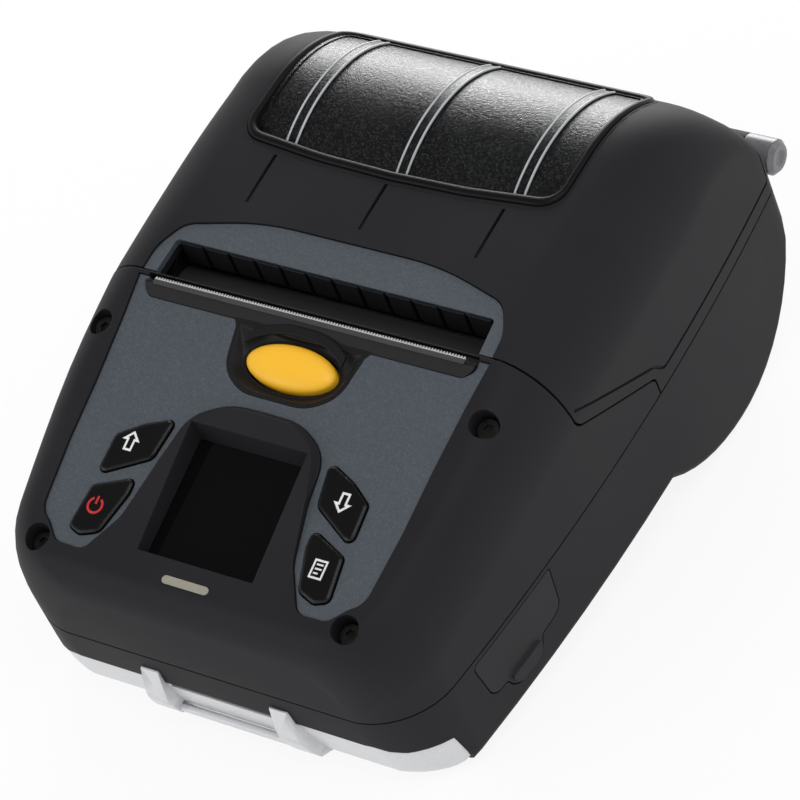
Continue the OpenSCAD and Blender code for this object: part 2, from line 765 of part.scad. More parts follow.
module lid_trim() {
    color(panel_grey) trim_plane() difference() {
        translate([0, 0, -trim_t]) linear_extrude(trim_t) trim_outline();
        translate([0, 0, -trim_t - 1]) linear_extrude(trim_t + 2) slot_outline();
    }
}

module lid_window() {
    color([0.75, 0.78, 0.8, 0.4]) union() {
        intersection() {
            round_shell(window_r, window_r - glass_lid_t);
            window_prism(0);
        }
        intersection() {
            round_shell(window_r + 0.5, window_r - 0.5);
            window_prism(-1.3);
            for (x = [-rib_x, 0, rib_x]) block([x - rib_w / 2, window_front_y, roll_z],
                [x + rib_w / 2, window_back_y, case_h + 3]);
        }
        intersection() {
            round_shell(window_r + 0.3, window_r - 0.5);
            difference() {
                window_prism(-0.05);
                window_prism(-0.9);
            }
        }
    }
}

module window_gasket() {
    color([0.08, 0.08, 0.08]) difference() {
        union() {
            intersection() {
                across(-case_w, case_w) top_profile(bead_h / 2);
                window_prism(gasket_w);
            }
            intersection() {
                across(-case_w, case_w) top_profile(bead_h);
                window_prism(gasket_w - 0.5);
            }
        }
        window_prism(0.05);
        rod(-case_w, case_w, roll_y, roll_z, window_r - glass_lid_t - 0.4);
    }
}

// Guide blocks, crossbeam and cheeks that carry the platen
guide_count = 12;
guide_pitch = (slot_w - 1) / guide_count;
module paper_guide() {
    beam_z = top_z(70.2) - lid_front_wall - 0.15;
    cheek = [[61.8, 43.5, 2], [69.5, 43, 3], [75.4, 52, 3], [75.4, beam_z, 0], [70, beam_z, 0],
        [62.5, 51.5, 3]];
    color([0.1, 0.1, 0.11]) difference() {
        union() {
            for (k = [0:guide_count - 1]) let (x = (k - (guide_count - 1) / 2) * guide_pitch)
                across(x - 2.75, x + 2.75) polygon([[68.4, 62], [68.9, 62], [68.9, beam_z],
                    [71, beam_z], [71, 55.2], [68.9, 54.9], [68.4, 56.2]]);
            block([-cheek_x[1], 70.2, 55.2], [cheek_x[1], 74.6, beam_z]);
            both_sides() across(cheek_x[0], cheek_x[1]) polygon(rounded(cheek));
        }
        both_sides() rod(cheek_x[0] - 1, cheek_x[1] + 1, platen_y, platen_z, bearing_r + 0.02);
    }
}

module platen_roller() {
    color([0.2, 0.2, 0.2]) difference() {
        rod(-platen_len / 2, platen_len / 2, platen_y, platen_z, platen_r);
        rod(-platen_len, platen_len, platen_y, platen_z, shaft_r);
    }
}

module platen_shaft() {
    color(steel) union() {
        rod(-gear_x - gear_w - 0.4, hook_x[1], platen_y, platen_z, shaft_r);
    }
}

module platen_bearings() {
    color([0.7, 0.55, 0.3]) both_sides() difference() {
        union() {
            rod(cheek_x[0] - 0.1, hook_x[1], platen_y, platen_z, bearing_r);
            rod(cheek_x[0] - 0.6, cheek_x[0] - 0.05, platen_y, platen_z, bearing_r + 0.8);
        }
        rod(cheek_x[0] - 2, hook_x[1] + 1, platen_y, platen_z, shaft_r + run_fit);
    }
}

// Spur gear outline with straight-sided teeth; a tooth is centred on the angle given
function gear_points(m, z, phase) = let (p = m * z / 2, pitch = 360 / z,
    root = p - 1.2 * m, tip = p + 0.85 * m) [for (k = [0:z - 1])
    each [for (q = [[root, -0.33], [p, -0.215], [tip, -0.11], [tip, 0.11], [p, 0.215], [root, 0.33]])
        let (a = phase + pitch * (k + q[1])) q[0] * [cos(a), sin(a)]]];
module gear(m, z, phase, bore, width) {
    linear_extrude(width) difference() {
        polygon(gear_points(m, z, phase));
        circle(r = bore, $fn = 48);
    }
}
// Gears lie in the plane X = -gear_x; in it angles turn from +Y to +Z
module gear_at(y, z) {
    translate([-gear_x - gear_w, y, z]) rotate([90, 0, 90]) children();
}
platen_pitch_r = gear_m * platen_teeth / 2;
idler_pitch_r = gear_m * idler_teeth / 2;
pinion_pitch_r = gear_m * pinion_teeth / 2;
gear_play = 0.06;
motor_to_platen = [platen_y - motor_y, platen_z - motor_z];
train_len = norm(motor_to_platen);
reach_a = pinion_pitch_r + idler_pitch_r + gear_play;
reach_b = platen_pitch_r + idler_pitch_r + gear_play;
along = (reach_a * reach_a - reach_b * reach_b + train_len * train_len) / (2 * train_len);
aside = sqrt(reach_a * reach_a - along * along);
idler_y = motor_y + (motor_to_platen[0] * along + motor_to_platen[1] * aside) / train_len;
idler_z = motor_z + (motor_to_platen[1] * along - motor_to_platen[0] * aside) / train_len;
// Angle of a tooth of the second gear so that it meets the first one's gap
function mesh_phase(a0, za, dir, zb) = dir + 180 - ((a0 - dir) * za / 360 + 0.5) * 360 / zb;
idler_phase = 0;
to_platen = atan2(platen_z - idler_z, platen_y - idler_y);
to_motor = atan2(motor_z - idler_z, motor_y - idler_y);

module platen_gear() {
    color([0.9, 0.9, 0.86]) gear_at(platen_y, platen_z)
        gear(gear_m, platen_teeth, mesh_phase(idler_phase, idler_teeth, to_platen, platen_teeth),
            shaft_r, gear_w);
}
module idler_gear() {
    color([0.9, 0.9, 0.86]) gear_at(idler_y, idler_z) difference() {
        gear(gear_m, idler_teeth, idler_phase, axle_r + run_fit, gear_w);
        translate([0, 0, gear_w - 0.8]) linear_extrude(2) difference() {
            circle(r = idler_pitch_r - 2.4, $fn = 64);
            circle(r = 3.4, $fn = 48);
        }
    }
}
module idler_axle() {
    color(steel) union() {
        rod(-gear_x - gear_w - 0.3, -plate_x[0], idler_y, idler_z, axle_r);
        rod(-gear_x - gear_w - 1, -gear_x - gear_w - 0.3, idler_y, idler_z, axle_r + 1);
        rod(-gear_x + 0.3, -plate_x[1] - 0.01, idler_y, idler_z, axle_r + 0.6);
    }
}
module drive_motor() {
    color([0.35, 0.35, 0.37]) difference() {
        union() {
            rod(-plate_x[0] + 0.02, -plate_x[0] + motor_len, motor_y, motor_z, motor_r);
            rod(-plate_x[0] + motor_len - 1, -plate_x[0] + motor_len + 1.5, motor_y, motor_z, 3);
        }
        rod(-plate_x[0] - 1, -plate_x[0] + 8, motor_y, motor_z, motor_shaft_r + run_fit);
    }
}
module motor_pinion() {
    color([0.85, 0.7, 0.4]) union() {
        gear_at(motor_y, motor_z) gear(gear_m, pinion_teeth,
            mesh_phase(idler_phase, idler_teeth, to_motor, pinion_teeth), motor_shaft_r - 0.2, gear_w);
        rod(-gear_x - gear_w - 0.6, -plate_x[0] + 6, motor_y, motor_z, motor_shaft_r);
    }
}

// Chassis: two side plates, floor, front wall, ears for the cover screws
module bearing_gate(r) {
    lift = 14;
    dir = [hinge_z - platen_z, -(platen_y - hinge_y)] / norm([platen_y - hinge_y, platen_z - hinge_z]);
    hull() {
        translate([platen_y, platen_z]) circle(r = r, $fn = 48);
        translate([platen_y, platen_z] + lift * [-dir[0], dir[1]]) circle(r = r + 1.5, $fn = 48);
    }
}
module side_plate() {
    difference() {
        polygon(rounded([[46, chassis_z, 0], [72, chassis_z, 0], [72, 44, 1.5], [69.5, 50, 1],
            [46, 50, 2]]));
        bearing_gate(bearing_r + 0.3);
        translate([latch_y, latch_z]) circle(r = latch_r + run_fit, $fn = 48);
        translate([head_pin_y, head_pin_z]) circle(r = head_pin_r, $fn = 48);
    }
}
module print_chassis() {
    color([0.5, 0.52, 0.55]) difference() {
        union() {
            both_sides() across(plate_x[0], plate_x[1]) side_plate();
            across(-plate_x[1], -plate_x[0]) difference() {
                polygon(rounded([[28, chassis_z, 1], [47, chassis_z, 0], [47, 41, 0], [34, 41, 4],
                    [28, 34, 3]]));
                translate([motor_y, motor_z]) circle(r = pinion_pitch_r + 1.5, $fn = 48);
            }
            block([-plate_x[1], 46, chassis_z], [plate_x[1], 72, chassis_z + 1.4]);
            difference() {
                block([-plate_x[1], 46, chassis_z], [plate_x[1], 47.4, 45]);
                block([-8, 45, 30], [8, 48, 46]);
                block([-plate_x[0], 45, 20], [-plate_x[0] + motor_len + 2, 48, motor_z + motor_r]);
            }
            on_panel() both_sides() {
                block([plate_x[0], rear_screw[1] - 3, -9], [rear_screw[0], rear_screw[1] + 3, -7]);
                translate([rear_screw[0], rear_screw[1], -11.5])
                    cylinder(r = 3, h = 11.5 - sleeve_depth - 0.05, $fn = 32);
            }
        }
        on_panel() both_sides() translate([rear_screw[0], rear_screw[1], -12])
            cylinder(r = screw_r, h = 8, $fn = 32);
        rod(-plate_x[1] - 1, -plate_x[0] + 1, idler_y, idler_z, axle_r);
        for (x = [-30, 30], y = [50, 68]) translate([x, y, chassis_z - 1])
            cylinder(r = screw_hole_r, h = 4, $fn = 32);
    }
}

// Heat sink with fins, ceramic plate with its heater line
head_w = media_w + 2;
module print_head() {
    sink_y = [53.6, head_face_y - 1.8];
    color([0.75, 0.76, 0.78]) difference() {
        union() {
            block([-head_w / 2, sink_y[0], head_pin_z - 2.4], [head_w / 2, sink_y[1], 46.5]);
            block([-head_w / 2 + 1, sink_y[1], latch_z + latch_r + 0.6],
                [head_w / 2 - 1, head_face_y - 0.6, 50.5]);
            rod(-head_w / 2 + 1, head_w / 2 - 1, head_face_y - 0.75, platen_z, 0.7);
        }
        rod(-head_w, head_w, head_pin_y, head_pin_z, head_pin_r + run_fit);
        for (k = [-5:5]) block([k * 6.4 - 1.4, sink_y[0] - 1, 38], [k * 6.4 + 1.4, sink_y[0] + 1.6, 47]);
        block([-5.5, sink_y[0] - 1, 35], [5.5, sink_y[1], 47]);
        block([-5.5, sink_y[0] - 1, 35], [5.5, platen_y, 44.4]);
    }
}
module head_pin() {
    color(steel) rod(-plate_x[1] + 0.1, plate_x[1] - 0.1, head_pin_y, head_pin_z, head_pin_r);
}
spring_x = 19.2;
module head_springs() {
    color(steel) both_sides() translate([spring_x + 3.2, 47.45, 43]) rotate([-90, 0, 0])
        coil(2.2, 5.8, 0.35, 4, 10, 5);
}

// Latch: shaft, lever under the release button, hooks beside the platen's bearings
stem_tip = [button_s * cos(panel_slope) - stem_end * sin(panel_slope),
    panel_z + button_s * sin(panel_slope) + stem_end * cos(panel_slope)];
module latch_shaft() {
    hook = [[latch_y - 3, latch_z, 2], [latch_y - 2.7, latch_z + 14.5, 2], [62.8, latch_z + 16, 0.6],
        [62.3, latch_z + 14, 0.5], [61.1, latch_z + 9, 0], [61, latch_z + 4, 2],
            [latch_y + 2.4, latch_z, 2],
        [latch_y, latch_z - 3, 1]];
    pad_z = stem_tip[1] - 0.3;
    lever = [[latch_y - 0.8, latch_z + 3, 1], [stem_tip[0] + 2, pad_z, 1], [stem_tip[0] - 1.8, pad_z, 0.6],
        [stem_tip[0] - 1.8, pad_z - 2, 0.8], [latch_y - 4.3, latch_z - 1, 2], [latch_y, latch_z - 3, 1]];
    color([0.55, 0.55, 0.58]) union() {
        rod(-hook_x[1] - 0.1, hook_x[1] + 0.1, latch_y, latch_z, latch_r);
        both_sides() across(hook_x[0], hook_x[1]) union() {
            polygon(rounded(hook));
            translate([latch_y, latch_z]) circle(r = 3.4, $fn = 40);
        }
        across(-4, 4) polygon(rounded(lever));
        rod(-4, 4, latch_y, latch_z, 3.2);
    }
}
module latch_spring() {
    color(steel) translate([-12, latch_y, latch_z]) rotate([0, 90, 0]) coil(2.4, 6, 0.3, 5, 10, 5);
}

// Hinge
module hinge_pin() {
    color(steel) rod(-barrel_x[1] + 1, barrel_x[1] - 1, hinge_y, hinge_z, hinge_pin_r);
}
module hinge_barrels() {
    color(silver) both_sides() difference() {
        union() {
            rod(barrel_x[0], barrel_x[1] - 1, hinge_y, hinge_z, hinge_r);
            translate([barrel_x[1] - 1, hinge_y, hinge_z]) rotate([0, 90, 0])
                cylinder(r1 = hinge_r, r2 = hinge_r - 1, h = 1, $fn = 48);
        }
        rod(barrel_x[0] - 1, barrel_x[1] - 0.9, hinge_y, hinge_z, hinge_pin_r);
        translate([barrel_x[1] - 0.6, hinge_y, hinge_z]) rotate([0, 90, 0])
            cylinder(r1 = 1.2, r2 = 2, h = 0.61, $fn = 48);
    }
}
module lid_spring() {
    color(steel) translate([-knuckle_x[0] + 2, hinge_y, hinge_z]) rotate([0, 90, 0])
        coil(2.5, 12, 0.45, 7, 10, 5);
}

// Base
ear_web = [[tail_y - 1.2, seam_z - 7], [tail_y - 1.2, seam_z - 0.1], [hinge_y - 3, seam_z - 0.1],
    [hinge_y + 1, hinge_z - hinge_r + 0.1], [hinge_y - 1, hinge_z - hinge_r]];
wall_y = bulge_start_y - 0.8;
wall_t = 1.8;
deck_z = 33.05;
port_y = [12, 40];
port_z = [10.2, seam_z - 1.3];
port_gap = 0.3;
// Outline of the port cover in Y and Z, with the round tab for a finger below it
module port_block(g) {
    across(battery_w / 2 + 6.5, case_w) offset(delta = g)
        polygon(rounded([[port_y[0] + 1.2, port_z[1], 1.2],
        [port_y[0] + 3, port_z[0], 3], [19.6, port_z[0] - 0.2, 1], [21, 5.8, 4], [30.4, 5.8, 4],
        [31.8, port_z[0], 1], [port_y[1] - 1, port_z[0] + 0.4, 3], [port_y[1], port_z[1], 0.5]]));
}

// Bumper seen from the side: highest across the nose, with slanted ends
module bumper_side(g = 0) {
    polygon([[nose_y - 5, -1], [nose_y - 5, bumper_h + g], [nose_y + 0.3, bumper_h + g],
        [nose_y + 1.1, 13.6 + g],
        [nose_y + 2.6, 12.4 + g], [bumper_back_y - 2.6 + g, bumper_end_h + g],
            [bumper_back_y - 0.2 + g, -1]]);
}

// Solid of the nose with its rounded lower edge, kept an inset inside the bumper
function nose_ring(z, inset) = let (d = max(0, bumper_edge_r - inset - (z - inset)),
        r = max(0.01, bumper_edge_r - inset), pull = inset + r - sqrt(max(0, r * r - d * d)))
    concat([for (y = nose_row(pull)) [half_w(y, pull) - 0.3, y, z]],
        [for (k = [len(nose_row(0)) - 1:-1:0]) let (y = nose_row(pull)[k]) [-half_w(y, pull) + 0.3, y, z]]);
function nose_row(pull) = [for (k = [8:-1:0])
    k == 8 ? bumper_back_y + 3 : bumper_front_y + pull + 0.02
        + (bumper_back_y - bumper_front_y - pull) * (1 - cos(90 * k / 8))];
module nose_solid(inset, top) {
    levels = concat([for (k = [0:4]) inset + (bumper_edge_r - inset) * (1 - cos(90 * k / 4))], [top]);
    loft([for (z = levels) nose_ring(z, inset)]);
}

module bottom_case() {
    bay_x = battery_w / 2 + bay_gap;
    color(soft_black) difference() {
        union() {
            difference() {
                base_outer();
                base_inner();
                across(-case_w, case_w) bumper_side(bumper_gap);
            }
            intersection() {
                nose_solid(bumper_t + 0.05, bumper_h + 1);
                difference() {
                    block([-case_w, nose_y, 0], [case_w, bumper_back_y + 0.2, bumper_h + 0.6]);
                    block([-half_w(bumper_back_y) + 5, nose_y + 5.4, 4.4],
                        [half_w(bumper_back_y) - 5, 20, 30]);
                }
            }
            intersection() {
                base_outer();
                union() {
                    block([-bay_x - bay_wall, bay_y - bay_gap - bay_wall, 0],
                        [bay_x + bay_wall, bay_y + battery_l + bay_gap + bay_wall, bay_roof_z]);
                    for (x = [-30, 30], y = [50, 68]) translate([x, y, bay_roof_z - 1])
                        cylinder(r = 3, h = chassis_z - bay_roof_z + 1, $fn = 32);
                    for (p = board_bosses) translate([p[0], p[1], 1])
                        cylinder(r = 2.6, h = board_z - 1, $fn = 32);
                }
            }
            block([-media_w / 2 - 3.5, wall_y, 1.2], [media_w / 2 + 3.5, wall_y + wall_t, deck_z - 0.05]);
            block([bay_x + 1, port_y[0], 2], [bay_x + 3, port_y[1] - 1, port_board_z]);
            both_sides() {
                across(ear_x[0], ear_x[1]) union() {
                    polygon(ear_web);
                    translate([hinge_y, hinge_z]) circle(r = hinge_r, $fn = 48);
                }
                intersection() {
                    on_panel() translate([front_screw[0], front_screw[1], -46])
                        cylinder(r = 3.4, h = 46 - sleeve_depth - 0.05, $fn = 40);
                    block([0, -5, 1], [case_w, 30, case_h]);
                }
            }
        }
        both_sides() rod(ear_x[0] - 1, ear_x[1] + 1, hinge_y, hinge_z, hinge_pin_r);
        block([-bay_x, bay_y - bay_gap, -1], [bay_x, bay_y + battery_l + bay_gap, bay_roof_z - bay_wall]);
        on_panel() both_sides() translate([front_screw[0], front_screw[1], -24])
            cylinder(r = screw_r, h = 20, $fn = 32);
        for (x = [-30, 30], y = [50, 68]) translate([x, y, bay_roof_z - 0.6])
            cylinder(r = screw_r, h = 6, $fn = 32);
        for (p = board_bosses) translate([p[0], p[1], bay_roof_z - 0.6]) cylinder(r = 0.8, h = 6, $fn = 32);
        block([-contact_w / 2 - 0.1, bay_y + battery_l - 4, bay_roof_z - 3],
            [contact_w / 2 + 0.1, bay_y + battery_l + bay_gap, bay_roof_z + 1]);
        port_block(port_gap);
        latch_slot();
    }
}

// Boards, their screws and the room for the contacts over the battery bay
board_z = 22.6;
board_bosses = [[-30, 13], [30, 13], [30, 42], [-12, 42]];
port_board_z = 10.8;
contact_w = 22;
module main_board() {
    color(board_green) difference() {
        translate([0, 0, board_z]) linear_extrude(board_t)
            polygon([[-34, 10], [34, 10], [34, 45], [-16, 45],
            [-16, 29], [-25, 27], [-34, 27]]);
        for (p = board_bosses) translate([p[0], p[1], board_z - 1]) cylinder(r = 1.2, h = 4, $fn = 32);
    }
}
module board_screws() {
    color(steel) for (p = board_bosses) union() {
        translate([p[0], p[1], board_z + board_t]) cylinder(r = 1.9, h = 1.1, $fn = 32);
        translate([p[0], p[1], bay_roof_z - 0.5])
            cylinder(r = 0.8, h = board_z - bay_roof_z + 2.2, $fn = 32);
    }
}
module port_board() {
    color(board_green) block([battery_w / 2 + bay_gap + bay_wall + 0.1, port_y[0] + 1, port_board_z],
        [half_w(port_y[0]) - wall - 1.2, port_y[1] - 1, port_board_z + board_t]);
}
module port_sockets() {
    x0 = battery_w / 2 + bay_gap + bay_wall + 2.6;
    x1 = half_w(port_y[0]) - wall + 0.32;
    color(steel) translate([0, 0, port_board_z + board_t]) union() {
        difference() {
            block([x0, 16, 0], [x1, 24.5, 4.6]);
            block([x1 - 4.4, 17, 0.8], [x1 + 2, 23.5, 3.8]);
        }
        difference() {
            block([x0, 28.5, 0], [x1, 36.5, 7]);
            translate([x1 - 4.4, 32.5, 3.5]) rotate([0, 90, 0]) cylinder(r = 2.6, h = 6, $fn = 40);
        }
    }
}
module port_cover() {
    color([0.13, 0.13, 0.14]) union() {
        difference() {
            intersection() {
                base_outer();
                port_block(0);
            }
            port_inner();
        }
        grip_axis = atan2(half_w(31) - half_w(20), 11);
        translate([half_w(25.7) - 1.5, 25.7, 6.6]) rotate([90, 0, 90 - grip_axis]) linear_extrude(2.3)
            polygon(rounded([[-5.2, 3.6, 0.6], [-4.2, 0, 3], [4.2, 0, 3], [5.2, 3.6, 0.6]]));
    }
}
module port_inner() {
    ys = [port_y[0] - 2, 19, 26, 33, port_y[1] + 2];
    loft([for (y = ys) lower_section(y, 1.8, seam_z + 2)]);
}

module battery_pack() {
    color([0.22, 0.22, 0.24]) difference() {
        union() {
            block([-battery_w / 2, bay_y, 0.02], [battery_w / 2, bay_y + battery_l, battery_h]);
        }
        block([-7, bay_y - 1, 5], [7, bay_y + 2, 8]);
        for (k = [0:5]) block([-12, bay_y + 8 + k * 2.4, -1], [12, bay_y + 9.2 + k * 2.4, 0.7]);
        block([-contact_w / 2, bay_y + battery_l - 4.2, battery_h - 2],
            [contact_w / 2, bay_y + battery_l + 1, battery_h + 1]);
    }
}
module battery_contacts() {
    color([0.8, 0.65, 0.3]) for (k = [-2:2]) block([k * 4 - 1, bay_y + battery_l - 3.6, battery_h - 1.9],
        [k * 4 + 1, bay_y + battery_l - 0.2, bay_roof_z + 0.2]);
}
module latch_slot() {
    block([-9.3, bay_y - bay_wall - bay_gap - 8.6, -1], [9.3, bay_y + 1, 2.35]);
    block([-6.3, bay_y - bay_wall - bay_gap - 8.6, 2], [6.3, bay_y + 1, 4.6]);
}
module battery_latch() {
    y1 = bay_y - 0.35;
    color([0.5, 0.5, 0.52]) difference() {
        union() {
            block([-9, y1 - 7.6, 0.1], [9, y1, 2.1]);
            block([-6, y1 - 5, 2], [6, y1, 4.3]);
        }
        for (k = [0:2]) block([-6, y1 - 6.4 + k * 1.6, -1], [6, y1 - 5.6 + k * 1.6, 0.7]);
    }
}

// Media guides and their rack
rail_z = wall - bulge_drop + 1.8;
rack_h = 2.2;
guide_m = 0.8;
guide_pitch_r = guide_m * guide_teeth / 2;
guide_t = 2.2;
module rack_outline(length, from) {
    pitch = PI * guide_m;
    count = floor(length / pitch) - 1;
    union() {
        translate([from, -3.4]) square([length, 2.5]);
        for (k = [0:count]) translate([from + pitch * (k + 0.5), 0])
            polygon([[-0.34 * pitch, -1], [-0.215 * pitch, 0], [-0.11 * pitch, 0.8 * guide_m],
                [0.11 * pitch, 0.8 * guide_m], [0.215 * pitch, 0], [0.34 * pitch, -1]]);
    }
}
// Right guide; its rack starts so that a gap faces the pinion's tooth at rest
module media_guide_right() { color([0.2, 0.2, 0.22]) guide_right_solid(); }
module media_guide_left() {
    color([0.2, 0.2, 0.22]) translate([0, 2 * roll_y, 0]) rotate([0, 0, 180]) guide_right_solid();
}
module guide_right_solid() {
    pitch = PI * guide_m;
    reach = media_w / 2 + guide_t;
    start = -pitch * 3;
    union() {
        translate([0, roll_y - guide_pitch_r - 0.06, rail_z + 1.15]) linear_extrude(rack_h)
            rack_outline(pitch * 18, start);
        block([start + pitch * 18 - 3, roll_y - guide_pitch_r - 3.4, rail_z + 1.15],
            [reach, roll_y - guide_pitch_r - 1, rail_z + 1.15 + rack_h]);
        difference() {
            union() {
                across(media_w / 2, reach) translate([roll_y, bulge_back_z]) circle(r = 24.5, $fn = 72);
                across(media_w / 2, reach)
                    polygon([[roll_y - 16, 6], [roll_y - guide_pitch_r - 5, rail_z + 3.5],
                    [roll_y - guide_pitch_r - 3.4, rail_z + 3.5],
                        [roll_y - guide_pitch_r - 3.4, rail_z + 1.2],
                    [roll_y - guide_pitch_r - 1, rail_z + 1.2],
                        [roll_y - guide_pitch_r - 1, rail_z + 4.2], [roll_y + 8, rail_z + 6],
                    [roll_y + 16, 6]]);
            }
            across(media_w / 2 - 1, reach + 1) translate([roll_y, bulge_back_z + 3])
                circle(r = 8, $fn = 48);
        }
    }
}
module guide_pinion() {
    color([0.85, 0.85, 0.8]) translate([0, roll_y, rail_z + 1.15]) union() {
        gear(guide_m, guide_teeth, -90, 1.5 + run_fit, rack_h);
    }
}
rail_y = guide_pitch_r + 4.5;
module guide_rail() {
    color([0.3, 0.3, 0.32]) union() {
        difference() {
            block([-media_w / 2 - 4, roll_y - rail_y, rail_z],
                [media_w / 2 + 4, roll_y + rail_y, rail_z + 3]);
            block([-media_w, roll_y - rail_y + 0.9, rail_z + 1.1],
                [media_w, roll_y + rail_y - 0.9, rail_z + 4]);
        }
        translate([0, roll_y, rail_z]) cylinder(r = 1.5, h = 1.1 + rack_h + 0.4, $fn = 40);
        block([-20, roll_y - 2.5, -bulge_drop + wall + 0.3], [20, roll_y + 2.5, rail_z + 0.5]);
    }
}

module feed_deck() {
    half = media_w / 2 + 2.9;
    color([0.25, 0.25, 0.27]) difference() {
        across(-half, half) polygon([[72.3, 37], [wall_y - 0.3, 34.5], [wall_y - 0.3, deck_z],
            [wall_y + wall_t, deck_z], [wall_y + wall_t, 35], [wall_y - 0.6, 37.4], [72.3, 39.2]]);
        block([-4.2, 75, 30], [4.2, wall_y - 0.5, 50]);
    }
}
module label_sensor() {
    color([0.1, 0.1, 0.1]) union() {
        block([-4, 75.2, 32.5], [4, wall_y - 0.7, 38]);
        block([-6, 74.2, 33], [6, wall_y - 0.4, 34.2]);
    }
}

// Bumper with its two lugs, and the bar between them
module lug() {
    hull() {
        block([14, lug_front_y + 1.7, lug_top_z - 0.8], [18.4, nose_y - 0.05, lug_top_z]);
        block([13.8, lug_front_y, lug_ridge_z - 0.5], [19.4, nose_y - 0.05, lug_ridge_z + 0.5]);
        block([14.4, lug_front_y + 0.3, 3.6], [20.6, bumper_front_y + 2, 4.6]);
        block([15, bumper_front_y + 1.9, 0.5], [21, bumper_front_y + 4.2, 1.5]);
    }
}
module front_bumper() {
    color(silver) union() {
        difference() {
            intersection() {
                nose_solid(0, bumper_h);
                across(-case_w, case_w) bumper_side();
            }
            nose_solid(bumper_t, bumper_h + 1);
            block([-13.5, nose_y - 2, bumper_h - 2], [13.5, nose_y + 3, bumper_h + 1]);
        }
        both_sides() difference() {
            lug();
            nose_solid(bumper_t, bumper_h + 1);
            difference() {
                block([0, nose_y - 0.05, 5], [case_w / 2, 5, lug_top_z + 1]);
                across(-1, case_w) bumper_side();
            }
            bar_rod();
        }
    }
}
module bar_rod() {
    rod(-14.6, 14.6, nose_y - 0.75, 5, 1.05);
}
module strap_bar() {
    color(steel) bar_rod();
}

module cover_screws() {
    color([0.7, 0.68, 0.6]) on_panel() both_sides() for (at = [front_screw, rear_screw]) difference() {
        union() {
            translate([at[0], at[1], -head_depth + 0.02]) cylinder(r = screw_head_r, h = 1.8, $fn = 40);
            translate([at[0], at[1], -11]) cylinder(r = screw_r, h = 8, $fn = 32);
        }
        translate([at[0], at[1], -head_depth + 0.9]) cylinder(r = 1.3, h = 2, $fn = 6);
    }
}
module chassis_screws() {
    color(steel) for (x = [-30, 30], y = [50, 68]) union() {
        translate([x, y, chassis_z + 1.42]) cylinder(r = 2.4, h = 1.5, $fn = 32);
        translate([x, y, bay_roof_z - 0.5])
            cylinder(r = screw_r, h = chassis_z - bay_roof_z + 2.2, $fn = 32);
    }
}

stand() bottom_case();
stand() front_cover();
stand() control_panel();
stand() display_window();
stand() display_module();
stand() status_light();
stand() key_up();
stand() key_down();
stand() key_power();
stand() key_menu();
stand() key_mat();
stand() key_board();
stand() button_frame();
stand() release_button();
stand() button_spring();
stand() tear_bar();
stand() lid();
stand() lid_trim();
stand() lid_window();
stand() window_gasket();
stand() paper_guide();
stand() platen_roller();
stand() platen_shaft();
stand() platen_gear();
stand() platen_bearings();
stand() idler_gear();
stand() idler_axle();
stand() drive_motor();
stand() motor_pinion();
stand() print_chassis();
stand() print_head();
stand() head_pin();
stand() head_springs();
stand() latch_shaft();
stand() latch_spring();
stand() hinge_pin();
stand() hinge_barrels();
stand() lid_spring();
stand() media_guide_left();
stand() media_guide_right();
stand() guide_pinion();
stand() guide_rail();
stand() feed_deck();
stand() label_sensor();
stand() main_board();
stand() port_board();
stand() port_sockets();
stand() port_cover();
stand() battery_pack();
stand() battery_latch();
stand() battery_contacts();
stand() front_bumper();
stand() strap_bar();
stand() cover_screws();
stand() chassis_screws();
stand() board_screws();
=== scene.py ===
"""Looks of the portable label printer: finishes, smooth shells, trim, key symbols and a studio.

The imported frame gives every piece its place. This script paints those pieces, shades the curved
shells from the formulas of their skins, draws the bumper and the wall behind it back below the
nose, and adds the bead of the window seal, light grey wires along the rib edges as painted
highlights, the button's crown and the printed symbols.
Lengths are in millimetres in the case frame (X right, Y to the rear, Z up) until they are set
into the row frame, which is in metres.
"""

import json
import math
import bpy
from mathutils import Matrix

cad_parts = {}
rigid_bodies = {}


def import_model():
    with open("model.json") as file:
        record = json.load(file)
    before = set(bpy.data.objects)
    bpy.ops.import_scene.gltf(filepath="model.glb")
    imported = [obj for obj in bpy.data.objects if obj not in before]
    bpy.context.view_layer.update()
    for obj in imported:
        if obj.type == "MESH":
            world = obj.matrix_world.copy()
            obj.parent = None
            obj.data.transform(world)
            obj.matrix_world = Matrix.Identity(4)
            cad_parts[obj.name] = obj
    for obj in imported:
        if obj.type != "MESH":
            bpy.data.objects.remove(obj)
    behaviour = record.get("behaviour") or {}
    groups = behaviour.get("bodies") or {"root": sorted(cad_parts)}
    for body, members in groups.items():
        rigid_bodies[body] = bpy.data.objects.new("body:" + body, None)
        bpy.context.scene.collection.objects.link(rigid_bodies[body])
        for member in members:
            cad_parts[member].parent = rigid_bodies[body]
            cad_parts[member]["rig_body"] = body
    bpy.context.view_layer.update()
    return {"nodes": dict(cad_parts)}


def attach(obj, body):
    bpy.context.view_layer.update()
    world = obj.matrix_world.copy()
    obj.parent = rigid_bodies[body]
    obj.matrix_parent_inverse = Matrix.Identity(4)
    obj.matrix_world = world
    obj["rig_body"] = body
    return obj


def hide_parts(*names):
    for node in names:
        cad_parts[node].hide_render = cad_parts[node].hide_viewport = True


bl_info = {
    "name": "Portable Label Printer Looks",
    "version": (1, 0, 0),
    "blender": (4, 5, 0),
    "location": "3D View > Sidebar > Printer",
    "description": "Finishes, smooth shells, key symbols and a studio for the label printer",
    "category": "Object",
}

import bmesh
import bpy
import numpy as np
from bpy.props import FloatProperty, FloatVectorProperty, PointerProperty
from mathutils import Euler

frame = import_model()

